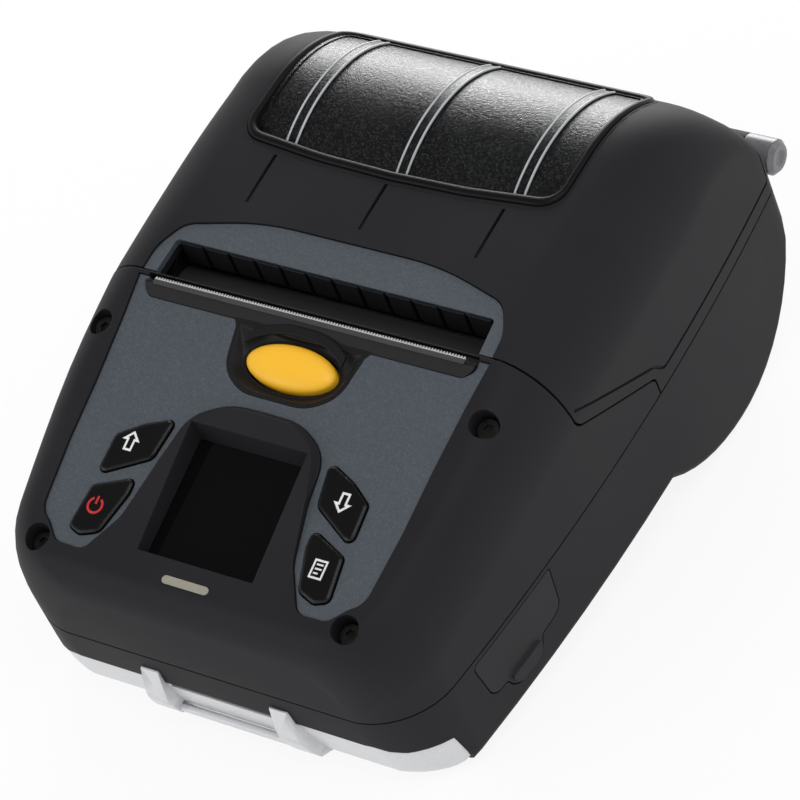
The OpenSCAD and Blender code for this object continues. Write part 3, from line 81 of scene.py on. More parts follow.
# Case, as in the construction
CASE_W, CASE_LEN, CASE_H = 116.0, 153.0, 65.0
NOSE_Y, NOSE_R, TAIL_R = -7.0, 14.5, 4.0
TAIL_Y = NOSE_Y + CASE_LEN
BELLY_Y, SIDE_ARC = 92.0, 580.0
SPLIT_Y, CROWN_Y = 59.5, 108.0
FRONT_FLAT, NOSE_DROP = 6.0, 9.0
PANEL_Z, PANEL_SLOPE, RAIL = 47.0, math.radians(13.5), 0.5
ROLL_R, BULGE_R, BULGE_DROP = 34.0, 44.0, 12.2
ROLL_Y, ROLL_Z = TAIL_Y - ROLL_R, CASE_H - ROLL_R
BULGE_Z, BACK_Z = BULGE_R - BULGE_DROP, ROLL_R - BULGE_DROP
BULGE_START = ROLL_Y - math.sqrt(BULGE_R**2 - BULGE_Z**2)
BASE_EDGE, BUMPER_EDGE, SEAM_Z = 3.0, 4.0, 23.5

# Ellipse of the shoulder: its half width and its height, each at the front, the back and the tail,
# and the stretch over which the front's turns into the back's
SHOULDER = ((10.0, 17.0, 17.0), (17.0, 20.0, 9.0))
SHOULDER_FROM, SHOULDER_TO = 30.0, 90.0

# How the case stands on its nose and its roll bulge
FOOT = (NOSE_Y + 0.5 + BUMPER_EDGE, BUMPER_EDGE)
LUG_FRONT, LUG_RIDGE = -9.2, 10.0
HINGE_Y, HINGE_Z, HINGE_R = TAIL_Y + 5.0, SEAM_Z + 1.5, 4.0

# Quarter ellipse along which the low nose draws back: its depth, the height where it starts, the
# share of it that is used and the Y where it has faded; the meshes are cut level to bend there
TUCK, TUCK_TOP, TUCK_TURN, TUCK_BACK = 10.0, 17.0, 0.85, 5.7
TUCK_CUTS = (14.0, 12.0, 10.0, 8.0, 6.3, 4.8, 3.4, 2.0)

# Lid window; its front edge runs back by BOW_MIDDLE at BOW_X and by BOW_END at the corners
WINDOW_HALF, WINDOW_FRONT, WINDOW_BACK = 38.0, 96.6, 136.8
BOW_X, BOW_MIDDLE, BOW_END, BOW_R = 18.0, 0.5, 2.6, 60.0
CORNER_FRONT_R, CORNER_BACK_R = 4.0, 3.0

# Section of the seal, as distance out from the window and height over the lid: inner foot, round
# bead, groove and outer edge; at the front the distances are SEAL_SPREAD times as long
SEAL_SPREAD = 1.4
SEAL_FOOT = (-0.12, -1.2)
BEAD_MIDDLE, BEAD_HALF, BEAD_RISE = (0.85, 0.05), 0.75, 0.65
SEAL_EDGE = ((1.6, -0.25), (1.75, -0.25), (1.8, 0.0), (2.38, 0.0), (2.38, -1.1))

# Ribs of the window, and the wires along their edges, light grey as painted highlights: radius,
# height over the glass, and how far they end from the window's front and back
GLASS_R = ROLL_R - 0.3
RIB_X, RIB_HALF = 28.42, 1.2
WIRE_R, WIRE_RISE, WIRE_FRONT, WIRE_BACK = 0.28, 0.42, 1.2, 1.0

# Release button: place up the panel, length and width, crown, foot and stem
BUTTON_S, BUTTON_L, BUTTON_W = 49.5, 22.2, 10.2
CROWN_SHARE, CROWN_RISE, CROWN_DROP, CROWN_POWER = 0.98, 0.8, 2.2, 1.2
BUTTON_FOOT, STEM_END, STEM_R = -4.2, -15.5, 2.2

# Tear bar: where its teeth start and end up the panel, and its height over it
TOOTH_ROOT, TOOTH_TIP, BLADE_RISE = 59.9, 60.9, 1.2

# Printed symbols: half their thickness, and their centres as X and distance up the panel
PRINT_HALF = 0.02
SYMBOL_PLACES = {"up": (-26.9, 24.8), "down": (25.9, 24.7), "power": (-28.1, 9.7), "menu": (27.1, 10.0)}

# Studio, in metres: floor, point that the softboxes face, and the softboxes' names, places, sizes
# and settings of power
FLOOR_HALF, FLOOR_DROP = 3.0, 0.0002
STUDIO_MIDDLE = (0, 0, 0.04)
SOFTBOXES = (
    ("key_softbox", (0.4, -0.1, 1.05), 0.8, "key_power"),
    ("fill_softbox", (-0.55, -0.8, 0.55), 0.6, "fill_power"),
    ("rim_softbox", (-0.5, 0.95, 0.28), 0.6, "rim_power"),
    ("edge_softbox", (0.7, 0.55, 0.5), 0.25, "edge_power"),
)


# Places: the case frame, the row frame and the panel's plane


def rest_tilt():
    """Angle of the base: the line that touches the nose's lower edge and the roll bulge."""
    dy, dz = ROLL_Y - FOOT[0], BULGE_Z - FOOT[1]
    return math.asin((BULGE_R - FOOT[1]) / math.hypot(dy, dz)) - math.atan2(dz, dy)


def stance():
    """Cosine and sine of the tilt, and the middle between the lugs and the hinge along the floor."""
    c, s = math.cos(rest_tilt()), math.sin(rest_tilt())
    front = (LUG_FRONT - FOOT[0]) * c - (LUG_RIDGE - FOOT[1]) * s
    rear = (HINGE_Y - FOOT[0]) * c - (HINGE_Z - FOOT[1]) * s + HINGE_R
    return c, s, (front + rear) / 2


def to_row(points):
    """Case-frame points in millimetres, tilted as the printer stands, to metres in the row frame."""
    c, s, middle = stance()
    p = np.asarray(points, float)
    y, z = p[:, 1] - FOOT[0], p[:, 2] - FOOT[1]
    return np.column_stack((p[:, 0], y * c - z * s - middle, y * s + z * c + FOOT[1])) / 1000


def to_case(points):
    """The inverse of to_row."""
    c, s, middle = stance()
    p = np.asarray(points, float) * 1000
    y, z = p[:, 1] + middle, p[:, 2] - FOOT[1]
    return np.column_stack((p[:, 0], y * c + z * s + FOOT[0], -y * s + z * c + FOOT[1]))


def tilt_vectors(v):
    """Turns case-frame directions into row-frame directions."""
    c, s, _ = stance()
    return np.column_stack((v[:, 0], v[:, 1] * c - v[:, 2] * s, v[:, 1] * s + v[:, 2] * c))


def on_panel(points):
    """Panel coordinates (X right, distance up the slope, height out of it) to the case frame."""
    p = np.asarray(points, float)
    c, s = math.cos(PANEL_SLOPE), math.sin(PANEL_SLOPE)
    return np.column_stack((p[:, 0], p[:, 1] * c - p[:, 2] * s, PANEL_Z + p[:, 1] * s + p[:, 2] * c))


# Skins of the case


def half_width(y):
    """Half the case's width: a long side arc, less a quarter circle at the nose and at the rear."""
    arc = CASE_W / 2 - (y - BELLY_Y) ** 2 / (2 * SIDE_ARC)
    nose = np.clip(NOSE_R - (y - NOSE_Y), 0, NOSE_R)
    tail = np.clip(TAIL_R - (TAIL_Y - y), 0, TAIL_R)
    return arc - NOSE_R + np.sqrt(NOSE_R**2 - nose**2) - TAIL_R + np.sqrt(TAIL_R**2 - tail**2)


def top_height(y):
    """Height of the top: quarter ellipse at the nose, panel slope, crown arc, round back."""
    slope = math.tan(PANEL_SLOPE)
    flat = NOSE_Y + FRONT_FLAT
    t = np.clip((flat - y) / FRONT_FLAT, 0, 1)
    nose = PANEL_Z + flat * slope + RAIL - NOSE_DROP + NOSE_DROP * np.sqrt(1 - t**2)
    split = PANEL_Z + SPLIT_Y * slope + RAIL
    r = ((CROWN_Y - SPLIT_Y) ** 2 + (CASE_H - split) ** 2) / (2 * (CASE_H - split))
    crown = CASE_H - r + np.sqrt(r**2 - np.clip(CROWN_Y - y, 0, r) ** 2)
    back = ROLL_Z + np.sqrt(np.clip(ROLL_R**2 - np.clip(y - ROLL_Y, 0, ROLL_R) ** 2, 0, None))
    plane = PANEL_Z + y * slope + RAIL
    return np.where(y < flat, nose, np.where(y < SPLIT_Y, plane, np.where(y < ROLL_Y, crown, back)))


def under_height(y):
    """Height of the underside: flat, then two arcs that make the roll bulge."""
    front = BULGE_Z - np.sqrt(BULGE_R**2 - np.clip(ROLL_Y - y, 0, BULGE_R) ** 2)
    back = BACK_Z - np.sqrt(np.clip(ROLL_R**2 - np.clip(y - ROLL_Y, 0, ROLL_R) ** 2, 0, None))
    return np.where(y < BULGE_START, 0, np.where(y < ROLL_Y, front, back))


def upper_field(p):
    """Zero on the covers' skin: a quarter ellipse between the flank and the top, at each Y."""
    y = p[:, 1]
    t = np.clip((y - SHOULDER_FROM) / (SHOULDER_TO - SHOULDER_FROM), 0, 1)
    soft = t * t * (3 - 2 * t)
    tail = np.clip((y - ROLL_Y) / ROLL_R, 0, 1)
    a, b = (front + (back - front) * soft + (rear - back) * tail for front, back, rear in SHOULDER)
    u = np.clip(np.abs(p[:, 0]) - half_width(y) + a, 0, None) / a
    v = np.clip(p[:, 2] - top_height(y) + b, 0, None) / b
    return (np.hypot(u, v) - 1) * np.minimum(a, b)


def lower_field(p):
    """Zero on the base's skin: a small quarter circle between the flank and the underside."""
    y = p[:, 1]
    u = np.clip(np.abs(p[:, 0]) - half_width(y) + BASE_EDGE, 0, None) / BASE_EDGE
    v = np.clip(under_height(y) + BASE_EDGE - p[:, 2], 0, None) / BASE_EDGE
    return (np.hypot(u, v) - 1) * BASE_EDGE


def field_normal(field, p, step=0.05):
    """Unit slope of a field by central differences."""
    grad = np.empty_like(p)
    for axis, shift in enumerate(np.eye(3) * step):
        grad[:, axis] = field(p + shift) - field(p - shift)
    return grad / np.maximum(np.linalg.norm(grad, axis=1, keepdims=True), 1e-9)


def tuck(p):
    """Moves the nose back where it is low.

    The shift is a quarter ellipse in Z, times how far the wall faces the front, times a quarter
    sine in Y. What moves back also drops along the tilt, so that it stays on the floor.
    """
    y = p[:, 1]
    flank = CASE_W / 2 - (y - BELLY_Y) ** 2 / (2 * SIDE_ARC)
    aside = np.clip(np.abs(p[:, 0]) - flank + NOSE_R, 0, None)
    ahead = np.clip(NOSE_Y + NOSE_R - y, 0, None)
    facing = ahead / np.maximum(np.hypot(aside, ahead), 1e-6)
    fade = np.sin(np.pi / 2 * np.clip((TUCK_BACK - y) / (TUCK_BACK - NOSE_Y), 0, 1))
    turn = np.clip((TUCK_TOP - p[:, 2]) / TUCK_TOP, 0, 1) * TUCK_TURN
    shift = TUCK * (1 - np.sqrt(1 - turn**2)) * facing * fade
    drop = -shift * math.tan(rest_tilt()) * (p[:, 2] < TUCK_TOP)
    return p + np.column_stack((np.zeros_like(y), shift, drop))


def tuck_normals(p, normals, step=0.05):
    """Normals carried through the tuck by the inverse transpose of its slopes."""
    slopes = np.empty((len(p), 3, 3))
    for axis, shift in enumerate(np.eye(3) * step):
        slopes[:, :, axis] = (tuck(p + shift) - tuck(p - shift)) / (2 * step)
    turned = np.einsum("nji,nj->ni", np.linalg.inv(slopes), normals)
    return turned / np.maximum(np.linalg.norm(turned, axis=1, keepdims=True), 1e-9)


# Meshes and pieces


def read(collection, attribute, width, kind=np.float32):
    """One attribute of a mesh collection as an array."""
    values = np.empty(len(collection) * width, kind)
    collection.foreach_get(attribute, values)
    return values.reshape(-1, width) if width > 1 else values


def add_piece(name, mesh, body):
    """Links a mesh as a piece that rides on a body."""
    obj = bpy.data.objects.new(name, mesh)
    bpy.context.scene.collection.objects.link(obj)
    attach(obj, body)
    return obj


def stand_in(node, name, mesh):
    """Puts a mesh in the place of a node, on the same body."""
    obj = add_piece(name, mesh, frame["nodes"][node]["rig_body"])
    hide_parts(node)
    return obj


def merged_copy(node, name, cuts=()):
    """A copy of a node's mesh with its corners merged, cut level at the given case heights."""
    mesh = frame["nodes"][node].data.copy()
    mesh.name = name
    work = bmesh.new()
    work.from_mesh(mesh)
    bmesh.ops.remove_doubles(work, verts=work.verts[:], dist=2e-7)
    up = tilt_vectors(np.array([[0.0, 0.0, 1.0]]))[0]
    limit = to_row([(0, TUCK_BACK, 0)])[0][1]
    for height in cuts:
        near = [f for f in work.faces if min(v.co.y for v in f.verts) < limit]
        edges = dict.fromkeys(e for f in near for e in f.edges)
        corners = dict.fromkeys(v for f in near for v in f.verts)
        bmesh.ops.bisect_plane(work, geom=[*near, *edges, *corners], dist=1e-7,
                               plane_co=to_row([(0, 0, height)])[0], plane_no=up)
    work.to_mesh(mesh)
    work.free()
    return mesh


def set_places(mesh, case):
    """Moves a mesh's points to case-frame places."""
    mesh.vertices.foreach_set("co", to_row(case).astype(np.float32).ravel())
    mesh.update()


def shade_shell(node, name, field, near=0.35, cone=22, tucked=False):
    """A stand-in for a shell whose outer faces are shaded with the slope of the skin's field.

    A face takes the field's slope where its corners lie within near millimetres of the skin and
    it looks less than cone degrees away from it; every other face keeps its own flat normal.
    """
    mesh = merged_copy(node, name, TUCK_CUTS if tucked else ())
    loops = read(mesh.loops, "vertex_index", 1, np.int32)
    totals = read(mesh.polygons, "loop_total", 1, np.int32)
    flat = np.repeat(read(mesh.polygons, "normal", 3), totals, axis=0)
    case = to_case(read(mesh.vertices, "co", 3))
    slopes = field_normal(field, case)
    close = np.abs(field(case))[loops] < near
    facing = np.einsum("ij,ij->i", tilt_vectors(slopes)[loops], flat)
    aligned = facing > math.cos(math.radians(cone))
    if tucked:
        slopes = tuck_normals(case, slopes)
        set_places(mesh, tuck(case))
        flat = np.repeat(read(mesh.polygons, "normal", 3), totals, axis=0)
    normals = np.where((close & aligned)[:, None], tilt_vectors(slopes)[loops], flat)
    mesh.shade_smooth()
    mesh.normals_split_custom_set(normals.tolist())
    return stand_in(node, name, mesh)


def tuck_piece(node, name, crease=32):
    """A stand-in that follows the tuck of the nose, smooth up to the given crease angle."""
    mesh = merged_copy(node, name, TUCK_CUTS)
    set_places(mesh, tuck(to_case(read(mesh.vertices, "co", 3))))
    mesh.shade_smooth()
    mesh.set_sharp_from_angle(angle=math.radians(crease))
    return stand_in(node, name, mesh)


def quads(along, around, loop, start=0):
    """Corner numbers of the quads over a grid, closed around and, if loop, along."""
    k = np.arange(along if loop else along - 1)[:, None]
    j = np.arange(around)[None, :]
    a, b = start + k * around, start + (k + 1) % along * around
    corners = (a + j, a + (j + 1) % around, b + (j + 1) % around, b + j)
    return np.stack(corners, -1).reshape(-1, 4).tolist()


def sheet_mesh(name, grid, materials, bands=None, loop=False, crease=40):
    """Quads over a grid of case-frame points (along, around), closed around and, if loop, along.

    Open ends get one face each, and points that meet are merged, which closes the poles. On a
    loop, bands gives the material of each strip around the section.
    """
    along, around = grid.shape[:2]
    faces = quads(along, around, loop)
    last = (along - 1) * around
    ends = [] if loop else [list(range(around)), list(range(last, last + around))]
    mesh = bpy.data.meshes.new(name)
    mesh.from_pydata(to_row(grid.reshape(-1, 3)).tolist(), [], faces + ends)
    for material in materials:
        mesh.materials.append(material)
    if bands is not None:
        mesh.polygons.foreach_set("material_index", np.tile(bands, along).astype(np.int32))
    work = bmesh.new()
    work.from_mesh(mesh)
    bmesh.ops.remove_doubles(work, verts=work.verts[:], dist=1e-7)
    bmesh.ops.recalc_face_normals(work, faces=work.faces[:])
    work.to_mesh(mesh)
    work.free()
    mesh.shade_smooth()
    mesh.set_sharp_from_angle(angle=math.radians(crease))
    return mesh


def rounded(corners, steps=6):
    """Closed outline whose corners, given as X, Y and radius, are turned into arcs."""
    out = []
    for k, (x, y, radius) in enumerate(corners):
        here = np.array((x, y))
        if radius == 0:
            out.append(here)
            continue
        u, v = (np.array(corners[m][:2]) - here for m in (k - 1, (k + 1) % len(corners)))
        u, v = u / np.linalg.norm(u), v / np.linalg.norm(v)
        half = math.acos(float(u @ v)) / 2
        centre = here + (u + v) / np.linalg.norm(u + v) * radius / math.sin(half)
        start, end = (here + side * radius / math.tan(half) - centre for side in (u, v))
        first = math.atan2(start[1], start[0])
        turn = (math.atan2(end[1], end[0]) - first + math.pi) % (2 * math.pi) - math.pi
        angles = first + turn * np.linspace(0, 1, steps)
        out += list(centre + radius * np.column_stack((np.cos(angles), np.sin(angles))))
    return np.array(out)


def window_half(grow):
    """Right half of the window's outline, grown outwards; more at the front, where the seal is broad."""
    front, back = WINDOW_FRONT - grow * SEAL_SPREAD, WINDOW_BACK + grow
    side = WINDOW_HALF + grow
    return rounded([(0, front, 0), (BOW_X, front + BOW_MIDDLE, BOW_R),
                    (side, front + BOW_END, CORNER_FRONT_R + grow),
                    (side, back, CORNER_BACK_R + grow), (0, back, 0)])


def window_line(grow, longest=2.5):
    """Whole outline of the window, with points along its long sides so that it follows the lid.

    Every outline is divided as the one with no growth is, so that all have as many points.
    """
    right = window_half(grow)
    sides = np.linalg.norm(np.diff(window_half(0), axis=0), axis=1)
    shares = [np.arange(n)[:, None] / n for n in np.maximum(1, np.ceil(sides / longest).astype(int))]
    right = np.vstack([a + (b - a) * t for a, b, t in zip(right[:-1], right[1:], shares)] + [right[-1:]])
    return np.vstack((right, right[-2:0:-1] * (-1, 1)))


def on_lid(xy, rise, step=0.05):
    """Points over the lid's middle profile, raised along its normal."""
    x, y = xy[:, 0], xy[:, 1]
    slope = (top_height(y + step) - top_height(y - step)) / (2 * step)
    lift = rise / np.sqrt(1 + slope**2)
    return np.column_stack((x, y - slope * lift, top_height(y) + lift))


def flat_symbol(name, bands, centre, height, body, material):
    """A printed symbol: closed bands between an outer and an inner outline, set on a key's face."""
    points, faces = [], []
    for outer, inner in bands:
        rings = [np.column_stack((line + centre, np.full(len(line), height + side * PRINT_HALF)))
                 for line, side in ((outer, 1), (outer, -1), (inner, -1), (inner, 1))]
        faces += quads(len(outer), len(rings), True, sum(map(len, points)))
        points.append(to_row(on_panel(np.stack(rings, 1).reshape(-1, 3))))
    mesh = bpy.data.meshes.new(name)
    mesh.from_pydata(np.vstack(points).tolist(), [], faces)
    mesh.validate()
    mesh.materials.append(material)
    return add_piece(name, mesh, body)


def inset(outline, stroke):
    """An outline moved inwards by the stroke, corner by corner along the bisectors."""
    back, ahead = outline - np.roll(outline, 1, 0), np.roll(outline, -1, 0) - outline
    back /= np.linalg.norm(back, axis=1, keepdims=True)
    ahead /= np.linalg.norm(ahead, axis=1, keepdims=True)
    bisect = np.column_stack((-back[:, 1] - ahead[:, 1], back[:, 0] + ahead[:, 0]))
    scale = stroke * 2 / np.einsum("ij,ij->i", bisect, bisect)
    return outline + bisect * scale[:, None]


def arrow(up, size=2.1, stroke=0.52):
    """Outlined block arrow, anticlockwise."""
    tip = [(0, 1.15), (-1.05, 0.1), (-0.5, 0.1), (-0.5, -1), (0.5, -1), (0.5, 0.1), (1.05, 0.1)]
    line = np.array(tip) * size * (1 if up else -1)
    return [(line, inset(line, stroke))]


def bar(x0, y0, x1, y1, gap=0.01):
    """Solid rectangle, written as a band that closes on its middle line."""
    outer = np.array([(x0, y0), (x1, y0), (x1, y1), (x0, y1)], float)
    middle = (x0 + x1) / 2
    inner = np.array([(middle, y) for y in (y0 + gap, y0 + gap, y1 - gap, y1 - gap)])
    return outer, inner


def power_sign(radius=1.95, stroke=0.55):
    """Ring open at the top, with an upright bar."""
    a = np.radians(np.linspace(120, 420, 31))
    ring = np.column_stack((np.cos(a), np.sin(a)))
    band = np.vstack((ring * radius, ring[::-1] * (radius - stroke)))
    middle = np.vstack((ring * 1.69, ring[::-1] * 1.67))
    return [(band, middle), bar(-0.27, 0.3, 0.27, 2.1)]


def menu_sign():
    """Page with a list: an outlined rectangle and three lines."""
    page = np.array([(-1.6, -2.1), (1.6, -2.1), (1.6, 2.1), (-1.6, 2.1)])
    return [(page, inset(page, 0.45)), bar(-0.8, 0.8, 0.8, 1.2), bar(-0.8, -0.15, 0.8, 0.25),
            bar(-0.8, -1.1, 0.3, -0.7)]


# Shader parts; SHARED holds the node groups that several finishes use

SHARED = {}


def put(tree, kind, inputs=None, **settings):
    """Adds a node; each input is a value or the socket that feeds it."""
    node = tree.nodes.new(kind)
    for key, value in settings.items():
        setattr(node, key, value)
    for key, value in (inputs or {}).items():
        if isinstance(value, bpy.types.NodeSocket):
            tree.links.new(value, node.inputs[key])
        else:
            node.inputs[key].default_value = value
    return node


def group(name, inputs, outputs):
    """An empty node group with its sockets; returns the tree, its input node and its output node."""
    tree = bpy.data.node_groups.new(name, "ShaderNodeTree")
    for label, kind, value in inputs:
        socket = tree.interface.new_socket(label, in_out="INPUT", socket_type=kind)
        if value is not None:
            socket.default_value = value
    for label, kind in outputs:
        tree.interface.new_socket(label, in_out="OUTPUT", socket_type=kind)
    return tree, tree.nodes.new("NodeGroupInput"), tree.nodes.new("NodeGroupOutput")


def mix_colour(tree, factor, a, b):
    """Colour between a and b."""
    return put(tree, "ShaderNodeMix", {0: factor, 6: a, 7: b}, data_type="RGBA").outputs[2]


def grain_group():
    """Moulded or painted surface: fine bumps, slight colour drift and patchy gloss."""
    tree, here, out = group(
        "Surface Grain",
        [("Vector", "NodeSocketVector", None), ("Base", "NodeSocketColor", (0.5, 0.5, 0.5, 1)),
         ("Grain per metre", "NodeSocketFloat", 2500.0), ("Drift", "NodeSocketFloat", 0.15),
         ("Roughness", "NodeSocketFloat", 0.5), ("Patchiness", "NodeSocketFloat", 0.05)],
        [("Base Color", "NodeSocketColor"), ("Roughness", "NodeSocketFloat"),
         ("Bump Height", "NodeSocketFloat")])
    given = here.outputs
    fine = put(tree, "ShaderNodeTexNoise", {"Vector": given["Vector"], "Scale": given["Grain per metre"],
                                            "Detail": 3.0, "Roughness": 0.6})
    wide = put(tree, "ShaderNodeTexNoise", {"Vector": given["Vector"], "Scale": 28.0, "Detail": 4.0})
    swing = put(tree, "ShaderNodeMapRange", {"Value": wide.outputs["Fac"], "From Min": 0.3,
                                             "From Max": 0.7, "To Min": -1.0, "To Max": 1.0})
    drift = put(tree, "ShaderNodeMath", {0: swing.outputs["Result"], 1: given["Drift"], 2: 1.0},
                operation="MULTIPLY_ADD")
    shade = put(tree, "ShaderNodeVectorMath", {0: given["Base"], "Scale": drift.outputs[0]},
                operation="SCALE")
    rough = put(tree, "ShaderNodeMath", {0: swing.outputs["Result"], 1: given["Patchiness"],
                                         2: given["Roughness"]}, operation="MULTIPLY_ADD")
    tree.links.new(shade.outputs[0], out.inputs["Base Color"])
    tree.links.new(rough.outputs[0], out.inputs["Roughness"])
    tree.links.new(fine.outputs["Fac"], out.inputs["Bump Height"])
    return tree


def speckle_group():
    """Metal-flake paint: small cells, some lighter and some darker than the ground colour."""
    tree, here, out = group(
        "Flake Speckle",
        [("Vector", "NodeSocketVector", None), ("Ground", "NodeSocketColor", (0.1, 0.1, 0.1, 1)),
         ("Light", "NodeSocketColor", (0.3, 0.3, 0.3, 1)), ("Dark", "NodeSocketColor", (0.02, 0.02, 0.02, 1)),
         ("Flakes per metre", "NodeSocketFloat", 3000.0), ("Light Share", "NodeSocketFloat", 0.3),
         ("Dark Share", "NodeSocketFloat", 0.3)],
        [("Base Color", "NodeSocketColor"), ("Bump Height", "NodeSocketFloat")])
    given = here.outputs
    cells = put(tree, "ShaderNodeTexVoronoi", {"Vector": given["Vector"], "Scale": given["Flakes per metre"]})
    parts = put(tree, "ShaderNodeSeparateColor", {"Color": cells.outputs["Color"]}).outputs
    light = put(tree, "ShaderNodeMapRange", {"Value": parts["Red"], "From Min": 0.55, "From Max": 1.0,
                                             "To Min": 0.0, "To Max": given["Light Share"]})
    dark = put(tree, "ShaderNodeMapRange", {"Value": parts["Green"], "From Min": 0.5, "From Max": 1.0,
                                            "To Min": 0.0, "To Max": given["Dark Share"]})
    lit = mix_colour(tree, light.outputs["Result"], given["Ground"], given["Light"])
    both = mix_colour(tree, dark.outputs["Result"], lit, given["Dark"])
    tree.links.new(both, out.inputs["Base Color"])
    tree.links.new(parts["Blue"], out.inputs["Bump Height"])
    return tree


def brush_group():
    """Drawn or turned metal: noise stretched along one axis, for gloss and bump."""
    tree, here, out = group(
        "Brushed Lines",
        [("Vector", "NodeSocketVector", None), ("Stretch", "NodeSocketVector", (40.0, 2500.0, 2500.0)),
         ("Roughness", "NodeSocketFloat", 0.3), ("Spread", "NodeSocketFloat", 0.15)],
        [("Roughness", "NodeSocketFloat"), ("Bump Height", "NodeSocketFloat")])
    given = here.outputs
    scaled = put(tree, "ShaderNodeVectorMath", {0: given["Vector"], 1: given["Stretch"]},
                 operation="MULTIPLY")
    lines = put(tree, "ShaderNodeTexNoise", {"Vector": scaled.outputs[0], "Scale": 1.0, "Detail": 5.0})
    rough = put(tree, "ShaderNodeMapRange", {"Value": lines.outputs["Fac"], "From Min": 0.35,
                                             "From Max": 0.65})
    spread = put(tree, "ShaderNodeMath", {0: rough.outputs["Result"], 1: given["Spread"],
                                          2: given["Roughness"]}, operation="MULTIPLY_ADD")
    tree.links.new(spread.outputs[0], out.inputs["Roughness"])
    tree.links.new(lines.outputs["Fac"], out.inputs["Bump Height"])
    return tree


def blank(name):
    """A new material with an output and a principled shader, plus its object coordinates."""
    material = bpy.data.materials.new(name)
    material.use_nodes = True
    tree = material.node_tree
    tree.nodes.clear()
    out = tree.nodes.new("ShaderNodeOutputMaterial")
    shader = tree.nodes.new("ShaderNodeBsdfPrincipled")
    tree.links.new(shader.outputs["BSDF"], out.inputs["Surface"])
    coords = tree.nodes.new("ShaderNodeTexCoord").outputs["Object"]
    return material, tree, shader, coords


def edge_normal(tree, radius, height, depth):
    """Bump over softened edges: the bump's ground normal is rounded over a radius in metres."""
    soft = put(tree, "ShaderNodeBevel", {"Radius": radius}, samples=6)
    bump = put(tree, "ShaderNodeBump", {"Height": height, "Strength": 1.0, "Distance": depth,
                                        "Normal": soft.outputs["Normal"]})
    return bump.outputs["Normal"]


def moulded(name, base, roughness, grain=2500.0, depth=0.00001, drift=0.12, patch=0.05, edge=0.0003,
            specular=0.5):
    """Moulded plastic or rubber with a fine grain."""
    material, tree, shader, coords = blank(name)
    parts = put(tree, "ShaderNodeGroup", {"Vector": coords, "Base": (*base, 1), "Grain per metre": grain,
                                          "Drift": drift, "Roughness": roughness, "Patchiness": patch},
                node_tree=SHARED["grain"]).outputs
    tree.links.new(parts["Base Color"], shader.inputs["Base Color"])
    tree.links.new(parts["Roughness"], shader.inputs["Roughness"])
    tree.links.new(edge_normal(tree, edge, parts["Bump Height"], depth), shader.inputs["Normal"])
    shader.inputs["Specular IOR Level"].default_value = specular
    return material


def flaked(name, ground, light, dark, roughness, flakes=3200.0, shares=(0.5, 0.5), metallic=0.0,
           depth=0.000004):
    """Metallic paint with visible flakes."""
    material, tree, shader, coords = blank(name)
    parts = put(tree, "ShaderNodeGroup", {"Vector": coords, "Ground": (*ground, 1), "Light": (*light, 1),
                                          "Dark": (*dark, 1), "Flakes per metre": flakes,
                                          "Light Share": shares[0], "Dark Share": shares[1]},
                node_tree=SHARED["speckle"]).outputs
    tree.links.new(parts["Base Color"], shader.inputs["Base Color"])
    tree.links.new(edge_normal(tree, 0.0003, parts["Bump Height"], depth), shader.inputs["Normal"])
    shader.inputs["Roughness"].default_value = roughness
    shader.inputs["Metallic"].default_value = metallic
    return material


def metal(name, base, roughness, stretch=(40.0, 2500.0, 2500.0), spread=0.15, depth=0.000004):
    """Bare metal with drawn or turned lines."""
    material, tree, shader, coords = blank(name)
    parts = put(tree, "ShaderNodeGroup", {"Vector": coords, "Stretch": stretch, "Roughness": roughness,
                                          "Spread": spread}, node_tree=SHARED["brush"]).outputs
    tree.links.new(parts["Roughness"], shader.inputs["Roughness"])
    tree.links.new(edge_normal(tree, 0.0001, parts["Bump Height"], depth), shader.inputs["Normal"])
    shader.inputs["Base Color"].default_value = (*base, 1)
    shader.inputs["Metallic"].default_value = 1.0
    return material


def clear_lens(name):
    """Smoked clear plastic, pebbled, with painted glints: small bright cells in its colour stand in for
    sparkle off its grain.
    """
    material, tree, shader, coords = blank(name)
    grain = put(tree, "ShaderNodeGroup", {"Vector": coords, "Base": (0.1, 0.1, 0.1, 1), "Drift": 0.05,
                                          "Grain per metre": 1700.0, "Roughness": 0.26,
                                          "Patchiness": 0.05}, node_tree=SHARED["grain"]).outputs
    # Painted highlight: the light cells of this speckle are glints painted into the base colour.
    painted_glints = put(tree, "ShaderNodeGroup", {"Vector": coords, "Ground": (0.012, 0.013, 0.015, 1),
                                          "Light": (0.4, 0.41, 0.44, 1), "Dark": (0.004, 0.004, 0.005, 1),
                                          "Flakes per metre": 3200.0, "Light Share": 0.32,
                                          "Dark Share": 0.9}, node_tree=SHARED["speckle"]).outputs
    bump = put(tree, "ShaderNodeBump", {"Height": grain["Bump Height"], "Strength": 1.0,
                                        "Distance": 0.00013})
    tree.links.new(painted_glints["Base Color"], shader.inputs["Base Color"])
    tree.links.new(grain["Roughness"], shader.inputs["Roughness"])
    tree.links.new(bump.outputs["Normal"], shader.inputs["Normal"])
    shader.inputs["Transmission Weight"].default_value = 0.8
    shader.inputs["IOR"].default_value = 1.49
    return material


